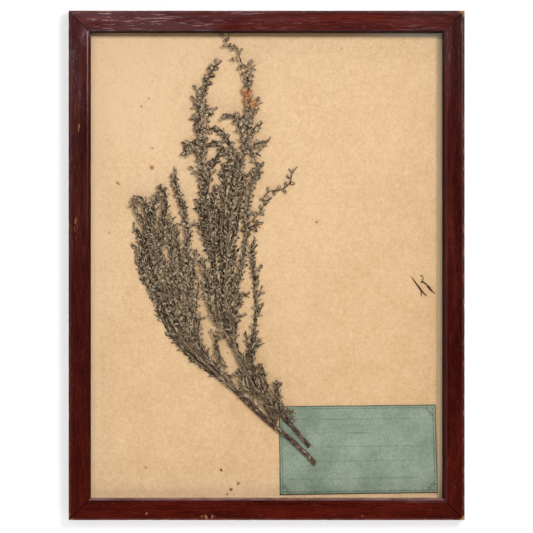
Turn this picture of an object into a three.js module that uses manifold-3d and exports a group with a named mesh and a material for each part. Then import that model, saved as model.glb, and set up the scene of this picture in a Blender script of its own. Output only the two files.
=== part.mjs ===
// A pressed plant specimen in a glazed wall frame.
// The frame is four mitred lengths of one moulding. A groove in it holds the glass, and its rabbet holds the
// buff sheet and the backing board, kept in by brads. The plant lies between the sheet and the glass: two cut
// stems, each with a bush of leafy shoots, split at the main forks. A green label and two loose stalks lie
// beside it. Units are millimetres, +Z is up and the glass faces -Y. The origin is on the wall, behind the
// hanger's middle notch.

import * as THREE from "three";
import { mergeVertices } from "three/addons/utils/BufferGeometryUtils.js";
import Module from "manifold-3d";

const wasm = await Module();
wasm.setup();

// Frame
const FRAME_WIDTH = 326.5;
const FRAME_HEIGHT = 420;
const FRAME_DEPTH = 22;
const FRAME_CENTRE_DROP = 182; // from the hanger's notch down to the frame's centre
const FIT_GAP = 0.3; // between two pieces that touch

// Moulding section: widths run inwards from the outer edge, depths run forwards from the wall
const SIGHT_WIDTH = 18.5; // outer edge to sight edge
const OUTER_ARRIS = 1.6;
const BEVEL_WIDTH = 2.2;
const BEVEL_DEPTH = 2.6;
const GROOVE_WIDTH = 12.5; // outer edge to the bottom of the glass groove
const GROOVE_BACK = 14.7;
const GROOVE_FRONT = 17.3;
const SHOULDER_WIDTH = 17;
const SHOULDER_DEPTH = 8.4; // wall to the shoulder that stops the sheet and the board
const RABBET_WIDTH = 10;

// Flat pieces inside the frame
const GLASS_THICKNESS = 2;
const SHEET_THICKNESS = 0.4;
const SHEET_SHORT_TOP = 22.6; // outer top edge to the sheet's top edge
const SHEET_SHORT_RIGHT = 21.8; // outer right edge to the sheet's right edge
const BOARD_THICKNESS = 3;
const LABEL_THICKNESS = 0.3;
const BOARD_FRONT = SHOULDER_DEPTH - 2 * FIT_GAP - SHEET_THICKNESS;
const BOARD_BACK = BOARD_FRONT - BOARD_THICKNESS;
const SHEET_FRONT = SHOULDER_DEPTH - FIT_GAP;
const GLASS_BACK = GROOVE_BACK + FIT_GAP;

// Brads, driven into the rabbet's wall behind the board
const BRAD_RADIUS = 0.6;
const BRAD_LENGTH = 13;
const BRAD_IN_WOOD = 6;
const BRAD_OFFSETS_ON_RAIL = [-80, 80];
const BRAD_OFFSETS_ON_STILE = [-125, 0, 125];

// Hanger: a bowed strap nailed to the board, with notches along its lower edge
const HANGER_LENGTH = 46;
const HANGER_HEIGHT = 11;
const HANGER_SHEET = 0.8;
const HANGER_FOOT = 8;
const HANGER_RAMP = 4;
const HANGER_BOW = 1.6;
const NOTCH_RADIUS = 1.7;
const NOTCH_PITCH = 4;
const NOTCHES = 5;
const NAIL_RADIUS = 0.6;
const NAIL_SIDES = 8;
const NAIL_HEAD_RADIUS = 1.7;
const NAIL_HEAD_HEIGHT = 0.8;
const NAIL_IN_BOARD = 2.2;

// Label corners and specimen routes are read from the photograph, in pixels of its 533 by 533 frame
const PHOTO_FRAME_HEIGHT = 509.8;
const PHOTO_FRAME_CENTRE = [266.6, 265.4];
const MM_PER_PIXEL = FRAME_HEIGHT / PHOTO_FRAME_HEIGHT;
const LABEL_CORNERS = [[279.8, 495.8], [438.4, 493.4], [436, 405], [279, 406.7]];

// Pressed shoots lie in three layers between the sheet and the glass, given by the depth of their flat backs
const SHOOT_THICKNESS = 1.8;
const LAYER_STEP = SHOOT_THICKNESS + FIT_GAP;
const BACK_LAYER = SHEET_FRONT + FIT_GAP;
const MIDDLE_LAYER = BACK_LAYER + LAYER_STEP;
const FRONT_LAYER = MIDDLE_LAYER + LAYER_STEP;
const LEAF_PITCH = 10; // between leaves on one side of a shoot
const LEAF_NOTCH = 0.55; // width between two leaves, as a share of the width at a leaf
const TIP_TAPER = 9; // length of the tapered tip of a shoot
const TRIANGLE_SIDE = Math.sin(2 * Math.PI / 3); // half the base of a triangle in a circle of radius 1
const TRIANGLE_BACK = -Math.cos(2 * Math.PI / 3); // from that circle's centre to the base
const LEAFY = 7.6; // width of a full shoot over its leaves
const SLIM = 5.6;
const SPARSE = 3.4;
const STEM_SIDES = 8;
const STEM_STEP = 9;
const STEM_DEPTH = 10.9; // wall to the middle of the bare stems
const STALK_SIDES = 5;

function finish(color, roughness, extra = {}) {
  return new THREE.MeshStandardMaterial({ color, roughness, ...extra });
}

const WOOD = finish("#4c1a13", 0.38);
const GLAZING = finish("#f4f7f5", 0.03, { transparent: true, opacity: 0.2 });
const BUFF_PAPER = finish("#dfb98a", 0.9);
const BOARD_CARD = finish("#8d7d68", 0.92);
const GREEN_PAPER = finish("#8fa38b", 0.88);
const STEEL = finish("#8b8a86", 0.4, { metalness: 1 });
const BRASS = finish("#a98a4a", 0.4, { metalness: 1 });
const STEM_BARK = finish("#5d4534", 0.8);
const DRY_LEAF = finish("#7d7260", 0.85);

// Solids

function toSolid(geometry) {
  geometry.deleteAttribute("normal");
  geometry.deleteAttribute("uv");
  const merged = mergeVertices(geometry);
  return new wasm.Manifold(
    new wasm.Mesh({
      numProp: 3,
      vertProperties: new Float32Array(merged.attributes.position.array),
      triVerts: new Uint32Array(merged.index.array),
    }),
  );
}

function toGeometry(solid) {
  const { vertProperties, triVerts } = solid.getMesh();
  const geometry = new THREE.BufferGeometry();
  geometry.setAttribute("position", new THREE.BufferAttribute(vertProperties, 3));
  geometry.setIndex(new THREE.BufferAttribute(triVerts, 1));
  geometry.computeVertexNormals();
  return geometry;
}

function named(name, geometry, material) {
  const mesh = new THREE.Mesh(geometry, material);
  mesh.name = name;
  return mesh;
}

const joined = (solids) => solids.reduce((whole, solid) => whole.add(solid));

// Frame: one side, its outer edge along X at z = 0 and its wood towards +Z

function mouldingSection() {
  const section = new THREE.Shape();
  section.moveTo(0, 0);
  section.lineTo(RABBET_WIDTH, 0);
  section.lineTo(RABBET_WIDTH, SHOULDER_DEPTH);
  section.lineTo(SHOULDER_WIDTH, SHOULDER_DEPTH);
  section.lineTo(SHOULDER_WIDTH, GROOVE_BACK);
  section.lineTo(GROOVE_WIDTH, GROOVE_BACK);
  section.lineTo(GROOVE_WIDTH, GROOVE_FRONT);
  section.lineTo(SIGHT_WIDTH, GROOVE_FRONT);
  section.lineTo(SIGHT_WIDTH, FRAME_DEPTH - BEVEL_DEPTH);
  section.quadraticCurveTo(SIGHT_WIDTH - BEVEL_WIDTH * 0.3, FRAME_DEPTH - BEVEL_DEPTH * 0.3,
    SIGHT_WIDTH - BEVEL_WIDTH, FRAME_DEPTH);
  section.lineTo(OUTER_ARRIS, FRAME_DEPTH);
  section.absarc(OUTER_ARRIS, FRAME_DEPTH - OUTER_ARRIS, OUTER_ARRIS, Math.PI / 2, Math.PI);
  section.closePath();
  return section;
}

function mitredLength(length) {
  const sweep = { depth: length, bevelEnabled: false, curveSegments: 4 };
  const rail = new THREE.ExtrudeGeometry(mouldingSection(), sweep);
  const corner = rail.attributes.position;
  for (let i = 0; i < corner.count; i += 1) {
    const inset = corner.getX(i) + FIT_GAP / 2;
    const along = corner.getZ(i);
    corner.setZ(i, along > 0 ? length - inset : inset);
  }
  const toRail = new THREE.Matrix4().makeBasis(
    new THREE.Vector3(0, 0, 1),
    new THREE.Vector3(0, -1, 0),
    new THREE.Vector3(1, 0, 0),
  );
  return rail.applyMatrix4(toRail).translate(-length / 2, 0, 0);
}

const bradDepth = BOARD_BACK - FIT_GAP - BRAD_RADIUS;

function bradGeometry(offset, radius) {
  const length = BRAD_LENGTH + radius - BRAD_RADIUS;
  const brad = new THREE.CylinderGeometry(radius, radius, length, NAIL_SIDES).rotateX(Math.PI / 2);
  return brad.translate(offset, -bradDepth, RABBET_WIDTH - BRAD_IN_WOOD + BRAD_LENGTH / 2);
}

function frameSide(name, length, bradOffsets) {
  const side = new THREE.Group();
  const holes = bradOffsets.map((offset) => toSolid(bradGeometry(offset, BRAD_RADIUS + FIT_GAP)));
  const rail = holes.reduce((wood, hole) => wood.subtract(hole), toSolid(mitredLength(length)));
  side.add(named(name, toGeometry(rail), WOOD));
  bradOffsets.forEach((offset, i) => {
    side.add(named(`brad_${name}_${i + 1}`, bradGeometry(offset, BRAD_RADIUS), STEEL));
  });
  return side;
}

function frameSides() {
  const sides = [
    ["rail_bottom", FRAME_WIDTH, BRAD_OFFSETS_ON_RAIL, 0, [0, -FRAME_HEIGHT / 2]],
    ["rail_top", FRAME_WIDTH, BRAD_OFFSETS_ON_RAIL, Math.PI, [0, FRAME_HEIGHT / 2]],
    ["stile_left", FRAME_HEIGHT, BRAD_OFFSETS_ON_STILE, Math.PI / 2, [-FRAME_WIDTH / 2, 0]],
    ["stile_right", FRAME_HEIGHT, BRAD_OFFSETS_ON_STILE, -Math.PI / 2, [FRAME_WIDTH / 2, 0]],
  ];
  return sides.map(([name, length, bradOffsets, turn, [x, z]]) => {
    const side = frameSide(name, length, bradOffsets);
    side.rotation.y = turn;
    side.position.set(x, 0, z);
    return side;
  });
}

// Flat pieces, placed about the frame's centre

function pane(name, [left, right, bottom, top], back, thickness, material) {
  const mesh = named(name, new THREE.BoxGeometry(right - left, thickness, top - bottom), material);
  mesh.position.set((left + right) / 2, -back - thickness / 2, (bottom + top) / 2);
  return mesh;
}

function insetRectangle(left, right, bottom, top) {
  const halfWidth = FRAME_WIDTH / 2;
  const halfHeight = FRAME_HEIGHT / 2;
  return [-halfWidth + left, halfWidth - right, -halfHeight + bottom, halfHeight - top];
}

function glass() {
  const edge = GROOVE_WIDTH + FIT_GAP;
  return pane("glass", insetRectangle(edge, edge, edge, edge), GLASS_BACK, GLASS_THICKNESS, GLAZING);
}

function sheet() {
  const edge = RABBET_WIDTH + FIT_GAP;
  const outline = insetRectangle(edge, SHEET_SHORT_RIGHT, edge, SHEET_SHORT_TOP);
  return pane("sheet", outline, SHEET_FRONT - SHEET_THICKNESS, SHEET_THICKNESS, BUFF_PAPER);
}

const notchDepth = NOTCH_RADIUS * 1.5;
const nailOffset = HANGER_LENGTH / 2 - HANGER_FOOT / 2;
const nailHeight = HANGER_HEIGHT / 2 - notchDepth;

function nailHole(length) {
  const radius = NAIL_RADIUS + FIT_GAP;
  return new THREE.CylinderGeometry(radius, radius, length, NAIL_SIDES);
}

function board() {
  const edge = RABBET_WIDTH + FIT_GAP;
  const [left, right, bottom, top] = insetRectangle(edge, edge, edge, edge);
  const slab = new THREE.BoxGeometry(right - left, BOARD_THICKNESS, top - bottom);
  let solid = toSolid(slab.translate(0, -BOARD_BACK - BOARD_THICKNESS / 2, 0));
  for (const x of [-nailOffset, nailOffset]) {
    const hole = nailHole(2 * (NAIL_IN_BOARD + FIT_GAP));
    solid = solid.subtract(toSolid(hole.translate(x, -BOARD_BACK, FRAME_CENTRE_DROP + nailHeight)));
  }
  return named("board", toGeometry(solid), BOARD_CARD);
}

// Hanger, placed about its middle notch

function hanger() {
  const half = HANGER_LENGTH / 2;
  const foot = half - HANGER_FOOT;
  const flat = foot - HANGER_RAMP;
  const bow = [[-half, 0], [-foot, 0], [-flat, HANGER_BOW], [flat, HANGER_BOW], [foot, 0], [half, 0]];
  const inner = bow.map(([x, y]) => new THREE.Vector2(x, y));
  const outer = bow.map(([x, y]) => new THREE.Vector2(x, y + HANGER_SHEET)).reverse();
  const strap = new THREE.Shape([...inner, ...outer]);
  const blank = new THREE.ExtrudeGeometry(strap, { depth: HANGER_HEIGHT, bevelEnabled: false });
  let solid = toSolid(blank.translate(0, 0, -notchDepth));
  for (let i = 0; i < NOTCHES; i += 1) {
    const notch = new THREE.CylinderGeometry(NOTCH_RADIUS, NOTCH_RADIUS, HANGER_LENGTH, 3);
    notch.translate((i - (NOTCHES - 1) / 2) * NOTCH_PITCH, 0, -NOTCH_RADIUS);
    solid = solid.subtract(toSolid(notch));
  }
  for (const x of [-nailOffset, nailOffset]) {
    solid = solid.subtract(toSolid(nailHole(4 * HANGER_SHEET).translate(x, 0, nailHeight)));
  }
  const mesh = named("hanger", toGeometry(solid), BRASS);
  mesh.position.y = -BOARD_BACK + FIT_GAP;
  return mesh;
}

function hangerNail(name, x) {
  const seat = HANGER_SHEET + 2 * FIT_GAP;
  const profile = [
    [0, -NAIL_IN_BOARD],
    [NAIL_RADIUS, -NAIL_IN_BOARD + NAIL_RADIUS],
    [NAIL_RADIUS, seat],
    [NAIL_HEAD_RADIUS, seat],
    [NAIL_HEAD_RADIUS * 0.8, seat + NAIL_HEAD_HEIGHT * 0.6],
    [0, seat + NAIL_HEAD_HEIGHT],
  ];
  const nail = new THREE.LatheGeometry(profile.map(([r, y]) => new THREE.Vector2(r, y)), 10);
  const mesh = named(name, nail, STEEL);
  mesh.position.set(x, -BOARD_BACK, nailHeight);
  return mesh;
}

// Specimen: rods bent along routes that lie in the plane of the sheet

function onSheet([px, py], depth) {
  const [cx, cy] = PHOTO_FRAME_CENTRE;
  return new THREE.Vector3((px - cx) * MM_PER_PIXEL, -depth, (cy - py) * MM_PER_PIXEL);
}

const routeCurve = (route, depth) => new THREE.CatmullRomCurve3(route.map((point) => onSheet(point, depth)));

// halfWidth(t, side, step) and halfDepth(t) give the section's half sizes at the share t of the route
function bentRod(curve, sides, steps, halfWidth, halfDepth) {
  const rod = new THREE.CylinderGeometry(1, 1, 1, sides, steps);
  const vertex = rod.attributes.position;
  const towardsGlass = new THREE.Vector3(0, -1, 0);
  for (let i = 0; i < vertex.count; i += 1) {
    const t = vertex.getY(i) + 0.5;
    const along = curve.getTangentAt(t);
    const across = new THREE.Vector3(along.z, 0, -along.x).normalize();
    const sideways = vertex.getX(i) * halfWidth(t, Math.sign(vertex.getX(i)), Math.round(t * steps));
    const point = curve.getPointAt(t).addScaledVector(across, sideways);
    point.addScaledVector(towardsGlass, vertex.getZ(i) * halfDepth(t));
    vertex.setXYZ(i, point.x, point.y, point.z);
  }
  return toSolid(rod);
}

// A shoot has a flat back and a ridge towards the glass. Its outline is toothed, with leaves that alternate
// from side to side and shrink towards the tip.
function leafyShoot(width, route, layer) {
  const ridge = SHOOT_THICKNESS / (1 + TRIANGLE_BACK);
  const curve = routeCurve(route, layer + ridge * TRIANGLE_BACK);
  const length = curve.getLength();
  const steps = 2 * Math.max(2, Math.round(length / LEAF_PITCH));
  const taper = (t) => Math.min(1, 0.2 + (length * (1 - t)) / TIP_TAPER);
  const fullness = (t) => Math.min(1, 0.55 + 3 * t) * taper(t);
  const halfWidth = (t, side, step) => {
    const isLeaf = (step % 2 === 0) === (side > 0);
    return 0.5 * width * fullness(t) * (isLeaf ? 1 : LEAF_NOTCH) / TRIANGLE_SIDE;
  };
  const halfDepth = (t) => ridge * (0.4 + 0.6 * taper(t));
  return bentRod(curve, 3, steps, halfWidth, halfDepth);
}

function spray(name, layer, shoots) {
  const solid = joined(shoots.map(([width, ...route]) => leafyShoot(width, route, layer)));
  return named(name, toGeometry(solid), DRY_LEAF);
}

function bareStem(name, route, startWidth, endWidth, depth = STEM_DEPTH) {
  const curve = routeCurve(route, depth);
  const steps = Math.max(2, Math.round(curve.getLength() / STEM_STEP));
  const half = (t) => 0.5 * THREE.MathUtils.lerp(startWidth, endWidth, t);
  return named(name, toGeometry(bentRod(curve, STEM_SIDES, steps, half, half)), STEM_BARK);
}

function looseStalk(name, routes, width) {
  const depth = SHEET_FRONT + FIT_GAP + width / 2;
  const stalks = routes.map((route) => {
    const half = (t) => 0.5 * width * (1 - 0.35 * t);
    return bentRod(routeCurve(route, depth), STALK_SIDES, 4, half, half);
  });
  return named(name, toGeometry(joined(stalks)), STEM_BARK);
}

function stems() {
  const long = [[316, 465], [308, 456], [292, 441], [271, 423], [251, 404], [234, 388]];
  const short = [[310, 447], [300.5, 436], [291, 425], [282, 414], [272, 405], [264.5, 398]];
  return [
    bareStem("long_stem", long, 3.9, 3),
    bareStem("short_stem", short, 3.3, 2.8),
    bareStem("side_twig_upper", [[278, 421], [273.5, 413.5], [268.5, 405.5]], 1.4, 1.2),
    bareStem("side_twig_lower", [[276, 421.5], [269.5, 414.5], [263.5, 405.5]], 1.4, 1.2),
  ];
}

function leftBush() {
  const fork = [233.4, 387.4];
  return [
    spray("left_spray_outer", BACK_LAYER, [
      [LEAFY, fork, [219, 378], [205, 368], [190, 356], [178, 343], [169, 331], [162, 317], [156, 303],
        [150, 291], [145, 279], [141, 267], [138, 260.5]],
      [LEAFY, [176, 339], [173, 325], [169, 313], [165, 302]],
      [LEAFY, [158, 308], [152, 285], [147, 268], [141, 256], [135.5, 249.5]],
      [LEAFY, [163, 320], [160, 300], [154, 280], [148, 260], [142, 241], [135, 230]],
    ]),
    spray("left_spray_middle", FRONT_LAYER, [
      [LEAFY, fork, [218, 370], [206, 357], [196, 345], [187, 334], [179, 322], [171, 309], [163, 295],
        [158.5, 280], [157, 266], [154, 250], [151, 234], [149, 220], [147, 208], [142, 199.5],
        [137, 199], [134, 204], [137, 209]],
      [SLIM, [154, 250], [149, 236], [144, 226], [140, 217], [136, 212]],
      [LEAFY, [157, 266], [155, 245], [153.5, 225], [153, 208], [156.5, 196]],
      [LEAFY, [158, 276], [160, 250], [162.5, 230], [164, 215], [165.5, 203], [161.5, 187.5]],
    ]),
    spray("left_spray_inner", MIDDLE_LAYER, [
      [LEAFY, fork, [224, 377], [212, 364], [203, 352], [198, 338], [195, 322], [193, 305], [191, 290],
        [189, 275], [187.5, 262], [187, 249], [188.5, 237], [187, 228], [184.5, 218], [184, 208],
        [180, 199], [177, 190], [174.5, 183], [175, 174]],
      [LEAFY, [203, 352], [188, 334], [178, 318], [173, 303], [170, 287], [168, 273], [163.5, 261.5]],
      [LEAFY, [196, 330], [184, 310], [179, 290], [175.5, 270], [171.5, 250], [170, 235], [170.3, 221]],
      [LEAFY, [200, 345], [190, 329], [186, 313], [184, 300]],
      [SLIM, [193, 305], [187, 288], [182, 270], [178.5, 250], [176, 238], [176.5, 227]],
      [SLIM, [192, 296], [193, 280], [193.5, 265], [195, 253]],
      [SPARSE, [194, 312], [197, 298], [198.5, 287], [197, 276.5]],
      [SPARSE, [197, 338], [199, 326], [200, 315.5]],
      [SPARSE, [213, 365], [206, 354], [202.5, 347]],
      [SPARSE, [222, 374.5], [230, 375.5], [238, 373]],
    ]),
  ];
}

function tallBush() {
  const trunkTop = [231, 338];
  const trunk = [[263.8, 397.2], [255, 386], [249, 375], [244, 365], [239, 355], [234.5, 345.5], trunkTop];
  return [
    spray("tall_trunk", MIDDLE_LAYER, [[LEAFY, ...trunk]]),
    spray("tall_spray_left", MIDDLE_LAYER, [
      [LEAFY, [230.5, 337], [226, 325], [220, 308], [216, 290], [214, 270], [212.5, 250], [210, 232],
        [208, 215], [206, 200], [205, 185], [203, 170], [201, 157], [203, 147], [203.5, 138], [201, 128],
        [199, 117], [199, 106], [203, 95], [205.5, 86], [208, 78], [212, 70], [219, 62.5]],
      [SPARSE, [199.5, 112], [195, 106], [193, 100.5]],
      [SLIM, [200, 100], [205, 106], [208, 113], [206, 119]],
      [SPARSE, [205, 108], [210, 112], [215, 109]],
      [SPARSE, [201.5, 102], [198, 95], [196.5, 89.5]],
      [SLIM, [203, 140], [199, 129], [194.5, 117.5]],
      [SLIM, [203, 152], [197, 145], [191, 142.5], [185, 146], [186, 153.5]],
      [SLIM, [202, 163], [197, 155], [191.5, 150]],
      [SPARSE, [205, 182], [199, 174.5], [193, 169]],
      [LEAFY, [206, 192], [208, 178], [211, 168], [216, 160], [219.5, 152]],
      [LEAFY, [212, 248], [215, 230], [215, 212], [213.5, 200], [215, 188]],
      [LEAFY, [213, 258], [206, 241], [201.5, 230], [197, 225]],
      [LEAFY, [210.5, 236], [204, 220], [198.5, 203.5]],
      [SLIM, [207.5, 212], [203.5, 201], [201, 189]],
    ]),
    spray("tall_spray_main", FRONT_LAYER, [
      [LEAFY, [237, 350], [233, 338], [229, 318], [226, 300], [226, 280], [227, 260], [228, 240],
        [230, 222], [233, 205], [236, 188], [239, 172], [241.5, 160], [244.5, 150], [246.5, 140],
        [247.5, 128], [249, 115], [249.5, 103], [247.5, 93], [247.5, 84], [249, 74]],
      [SLIM, [233.5, 341], [236, 329], [235, 317], [234, 306]],
      [SPARSE, [231, 322], [235, 317.5], [242, 315]],
      [SPARSE, [248, 80], [250, 71.5], [247, 67], [242, 63], [239.5, 57], [238.5, 51], [234.5, 46.5],
        [228.5, 46], [225.5, 41], [225, 35.5]],
      [SPARSE, [239.5, 60], [237, 61], [234.5, 59.5]],
      [SPARSE, [249, 78], [251, 70], [251.5, 62.5]],
      [SPARSE, [247, 84], [243, 77], [241, 69.5]],
      [SLIM, [247, 128], [241, 120], [233, 116], [224.5, 117.5]],
      [SLIM, [246, 140], [241, 131], [237.5, 121]],
      [SLIM, [247, 140], [252, 132], [258.5, 124]],
      [SLIM, [249, 122], [253, 112], [257, 101]],
      [SLIM, [245, 150], [251, 148.5], [257, 144], [264.5, 141.5]],
      [SPARSE, [250, 149], [256, 154], [259.5, 150.5]],
    ]),
    spray("tall_spray_centre", BACK_LAYER, [
      [LEAFY, [237, 350], [230, 331], [226, 312], [223, 290], [222, 265], [221, 240], [222, 220],
        [224, 200], [224, 187], [223, 176], [226, 166], [229.5, 160]],
      [LEAFY, [222, 245], [230, 225], [232, 205], [232.5, 188], [232.5, 175], [230, 161], [226, 152.5],
        [220, 146], [213, 143], [206.5, 147.5]],
      [LEAFY, [222.5, 258], [233, 238], [237.5, 218], [240, 200], [241.5, 187], [244, 178], [249, 175]],
      [LEAFY, [224, 296], [230, 279], [232.5, 262], [233, 245]],
      [LEAFY, [240, 198], [239, 176], [236, 160], [232, 149], [227, 140], [222, 132.5], [215, 129.5],
        [207.5, 129]],
    ]),
    spray("tall_spray_right", MIDDLE_LAYER, [
      [SLIM, [230, 311], [236.5, 287], [240.5, 272], [243, 258], [245, 244], [246, 230], [246.5, 214],
        [248.5, 200], [250.5, 188], [254, 178], [257.5, 172], [261, 166.5]],
      [SLIM, [245.5, 238], [251, 229], [258.5, 224.5]],
      [SPARSE, [255, 177], [257, 165], [253, 156]],
      [SLIM, [232.5, 302], [237.5, 296], [244, 294]],
      [SLIM, [231.5, 306], [235, 308], [238.5, 304], [240.5, 299.5]],
    ]),
    spray("right_twig", BACK_LAYER, [
      [SPARSE, [244, 232], [247, 226], [253, 219.5], [259, 213], [264, 205], [264, 197], [270, 191],
        [280, 190], [287, 186], [290.5, 181], [292, 173.5]],
      [SPARSE, [259, 213], [254, 212], [250, 210.5]],
      [SPARSE, [263.5, 206], [267, 203], [269.5, 199.5]],
    ]),
    spray("slender_spray", BACK_LAYER, [
      [SLIM, [246, 367], [248.5, 356], [251, 347], [254, 336], [255, 325], [256, 312], [256, 300],
        [255, 288], [254.5, 276], [252.5, 262], [252, 252], [253.5, 243.5]],
      [SPARSE, [255.5, 298], [259, 294], [261.5, 288]],
      [SPARSE, [255.5, 318], [259, 312.5], [261.5, 307]],
      [SPARSE, [254, 276], [256, 272], [258.5, 269]],
      [SPARSE, [250.5, 350], [248, 344], [246, 338]],
    ]),
    spray("edge_spray", FRONT_LAYER, [
      [LEAFY, [224.5, 331], [218.5, 324], [213, 315], [210.5, 304], [208, 290], [205.5, 275], [203, 261]],
    ]),
    spray("hanging_twig", FRONT_LAYER, [
      [SPARSE, [226, 337], [219, 337], [216, 343.5], [218.5, 353], [221, 367]],
      [SPARSE, [218, 339], [214.5, 336], [212.5, 332.5]],
    ]),
    spray("base_spray", FRONT_LAYER, [
      [LEAFY, [263, 397], [266, 388], [264, 378], [261.5, 367.5]],
      [LEAFY, [263, 397], [258, 386], [255, 374], [252, 362], [253.5, 351], [258, 342]],
      [LEAFY, [262, 397], [251, 391], [244, 382], [241, 371]],
      [SLIM, [263, 398], [271, 399], [277.5, 397], [280, 392], [279.5, 384.5]],
      [SPARSE, [274, 398], [275.5, 391], [273.5, 383.5]],
      [SLIM, [270, 399], [278, 403.5], [284, 410], [290, 411]],
    ]),
  ];
}

function looseStalks() {
  return [
    looseStalk("fragment_left", [
      [[412, 277], [418, 285], [423, 290.5], [427, 296]],
      [[421.5, 288.5], [423.5, 292], [423, 296]],
    ], 0.9),
    looseStalk("fragment_right", [[[420.5, 275.5], [424, 282], [429, 287], [436, 294]]], 0.8),
  ];
}

function label() {
  const corners = LABEL_CORNERS.map((corner) => onSheet(corner, 0));
  const outline = new THREE.Shape(corners.map(({ x, z }) => new THREE.Vector2(x, z)));
  const paper = new THREE.ExtrudeGeometry(outline, { depth: LABEL_THICKNESS, bevelEnabled: false });
  const mesh = named("label", paper, GREEN_PAPER);
  mesh.rotation.x = Math.PI / 2;
  mesh.position.y = -SHEET_FRONT - FIT_GAP;
  return mesh;
}

const inFrame = new THREE.Group();
inFrame.position.z = -FRAME_CENTRE_DROP;
inFrame.add(...frameSides(), glass(), sheet(), board(), label());
inFrame.add(...stems(), ...leftBush(), ...tallBush(), ...looseStalks());

const framedSpecimen = new THREE.Group();
framedSpecimen.add(inFrame, hanger());
framedSpecimen.add(hangerNail("hanger_nail_left", -nailOffset), hangerNail("hanger_nail_right", nailOffset));

export default framedSpecimen;
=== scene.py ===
import math

import bmesh
import bpy
from mathutils import Matrix, Vector, noise


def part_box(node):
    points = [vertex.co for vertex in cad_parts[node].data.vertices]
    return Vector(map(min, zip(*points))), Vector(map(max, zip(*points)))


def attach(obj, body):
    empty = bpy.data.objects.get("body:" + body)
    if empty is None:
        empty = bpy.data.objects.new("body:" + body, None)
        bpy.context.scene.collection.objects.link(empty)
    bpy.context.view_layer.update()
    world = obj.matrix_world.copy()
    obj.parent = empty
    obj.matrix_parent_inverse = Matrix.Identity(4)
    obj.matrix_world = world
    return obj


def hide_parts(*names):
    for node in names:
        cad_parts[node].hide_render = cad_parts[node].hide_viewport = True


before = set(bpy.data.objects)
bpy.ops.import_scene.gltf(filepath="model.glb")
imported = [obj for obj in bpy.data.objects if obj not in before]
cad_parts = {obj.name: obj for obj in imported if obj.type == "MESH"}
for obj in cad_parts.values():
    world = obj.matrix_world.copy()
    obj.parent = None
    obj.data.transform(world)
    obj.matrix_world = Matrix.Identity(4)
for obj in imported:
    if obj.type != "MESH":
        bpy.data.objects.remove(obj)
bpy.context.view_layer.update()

MM = 0.001

# Frame sizes, as in the part's source
FRAME_WIDTH = 326.5 * MM
FRAME_HEIGHT = 420 * MM
FRAME_DEPTH = 22 * MM
FRAME_CENTRE_DROP = 182 * MM
FRAME_TOP = FRAME_HEIGHT / 2 - FRAME_CENTRE_DROP
FRAME_FOOT = -FRAME_HEIGHT / 2 - FRAME_CENTRE_DROP
SIGHT_WIDTH = 18.5 * MM
FIT_GAP = 0.3 * MM
MITRE_GAP = 0.04 * MM
SHEET_BACK = 7.7 * MM
SHEET_FRONT = 8.1 * MM
LABEL_BACK = 8.4 * MM
STEM_DEPTH = 10.9 * MM
SHOOT_THICKNESS = 1.8 * MM
BACK_LAYER = 8.4 * MM
MIDDLE_LAYER = 10.5 * MM
FRONT_LAYER = 12.6 * MM

# The photograph's frame, in pixels
PHOTO_SIDE = 533
PHOTO_FRAME_HEIGHT = 509.8
PHOTO_FRAME_CENTRE = (266.6, 265.4)
PIXEL = FRAME_HEIGHT / PHOTO_FRAME_HEIGHT

# Shoots by their width over the leaves, and bare stems by their own width
LEAFY = 6.8 * MM
SLIM = 5.6 * MM
SCRAPS = 4.4 * MM
SPARSE = 3.4 * MM
STOUT_STEM = 1.9 * MM
BARE = 1.0 * MM


def on_sheet(pixel, depth):
    """The point at a pixel of the photograph, that far in front of the wall."""
    x = (pixel[0] - PHOTO_FRAME_CENTRE[0]) * PIXEL
    z = (PHOTO_FRAME_CENTRE[1] - pixel[1]) * PIXEL - FRAME_CENTRE_DROP
    return Vector((x, -depth, z))


def across_sheet(column):
    """The x of a column of pixels."""
    return on_sheet((column, 0), 0).x


def up_sheet(row):
    """The z of a row of pixels."""
    return on_sheet((0, row), 0).z


# Node helpers, for shaders and geometry trees alike

class Wire:
    """One output of a node. Arithmetic on wires adds the nodes that work it out."""

    def __init__(self, tree, socket):
        self.tree = tree
        self.socket = socket
        self.is_vector = socket.type in ("VECTOR", "RGBA")

    def calc(self, operation, *values):
        kind = "ShaderNodeVectorMath" if self.is_vector else "ShaderNodeMath"
        return wire(self.tree, kind, dict(enumerate((self, *values))), operation=operation)

    def __add__(self, other):
        return self.calc("ADD", other)

    def __sub__(self, other):
        return self.calc("SUBTRACT", other)

    def __rsub__(self, number):
        return self.calc("MULTIPLY_ADD", -1.0, number)

    def __mul__(self, other):
        if self.is_vector and not isinstance(other, tuple):
            return wire(self.tree, "ShaderNodeVectorMath", {0: self, "Scale": other}, operation="SCALE")
        return self.calc("MULTIPLY", other)

    def __truediv__(self, other):
        return self.calc("DIVIDE", other)

    def __lt__(self, other):
        return self.calc("LESS_THAN", other)

    def __gt__(self, other):
        return self.calc("GREATER_THAN", other)

    def __abs__(self):
        return self.calc("ABSOLUTE")


def add(tree, kind, inputs=None, **settings):
    """A new node with its settings, its inputs linked to wires or set to values."""
    node = tree.nodes.new(kind)
    for name, value in settings.items():
        setattr(node, name, value)
    for key, value in (inputs or {}).items():
        if isinstance(value, Wire):
            tree.links.new(value.socket, node.inputs[key])
        else:
            node.inputs[key].default_value = value
    return node


def wire(tree, kind, inputs=None, output=0, **settings):
    """One output of a new node."""
    return Wire(tree, add(tree, kind, inputs, **settings).outputs[output])


def smaller(first, second):
    return first.calc("MINIMUM", second)


def larger(first, second):
    return first.calc("MAXIMUM", second)


def split(vector):
    """The x, y and z of a vector."""
    node = add(vector.tree, "ShaderNodeSeparateXYZ", {0: vector})
    return [Wire(vector.tree, socket) for socket in node.outputs]


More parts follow.
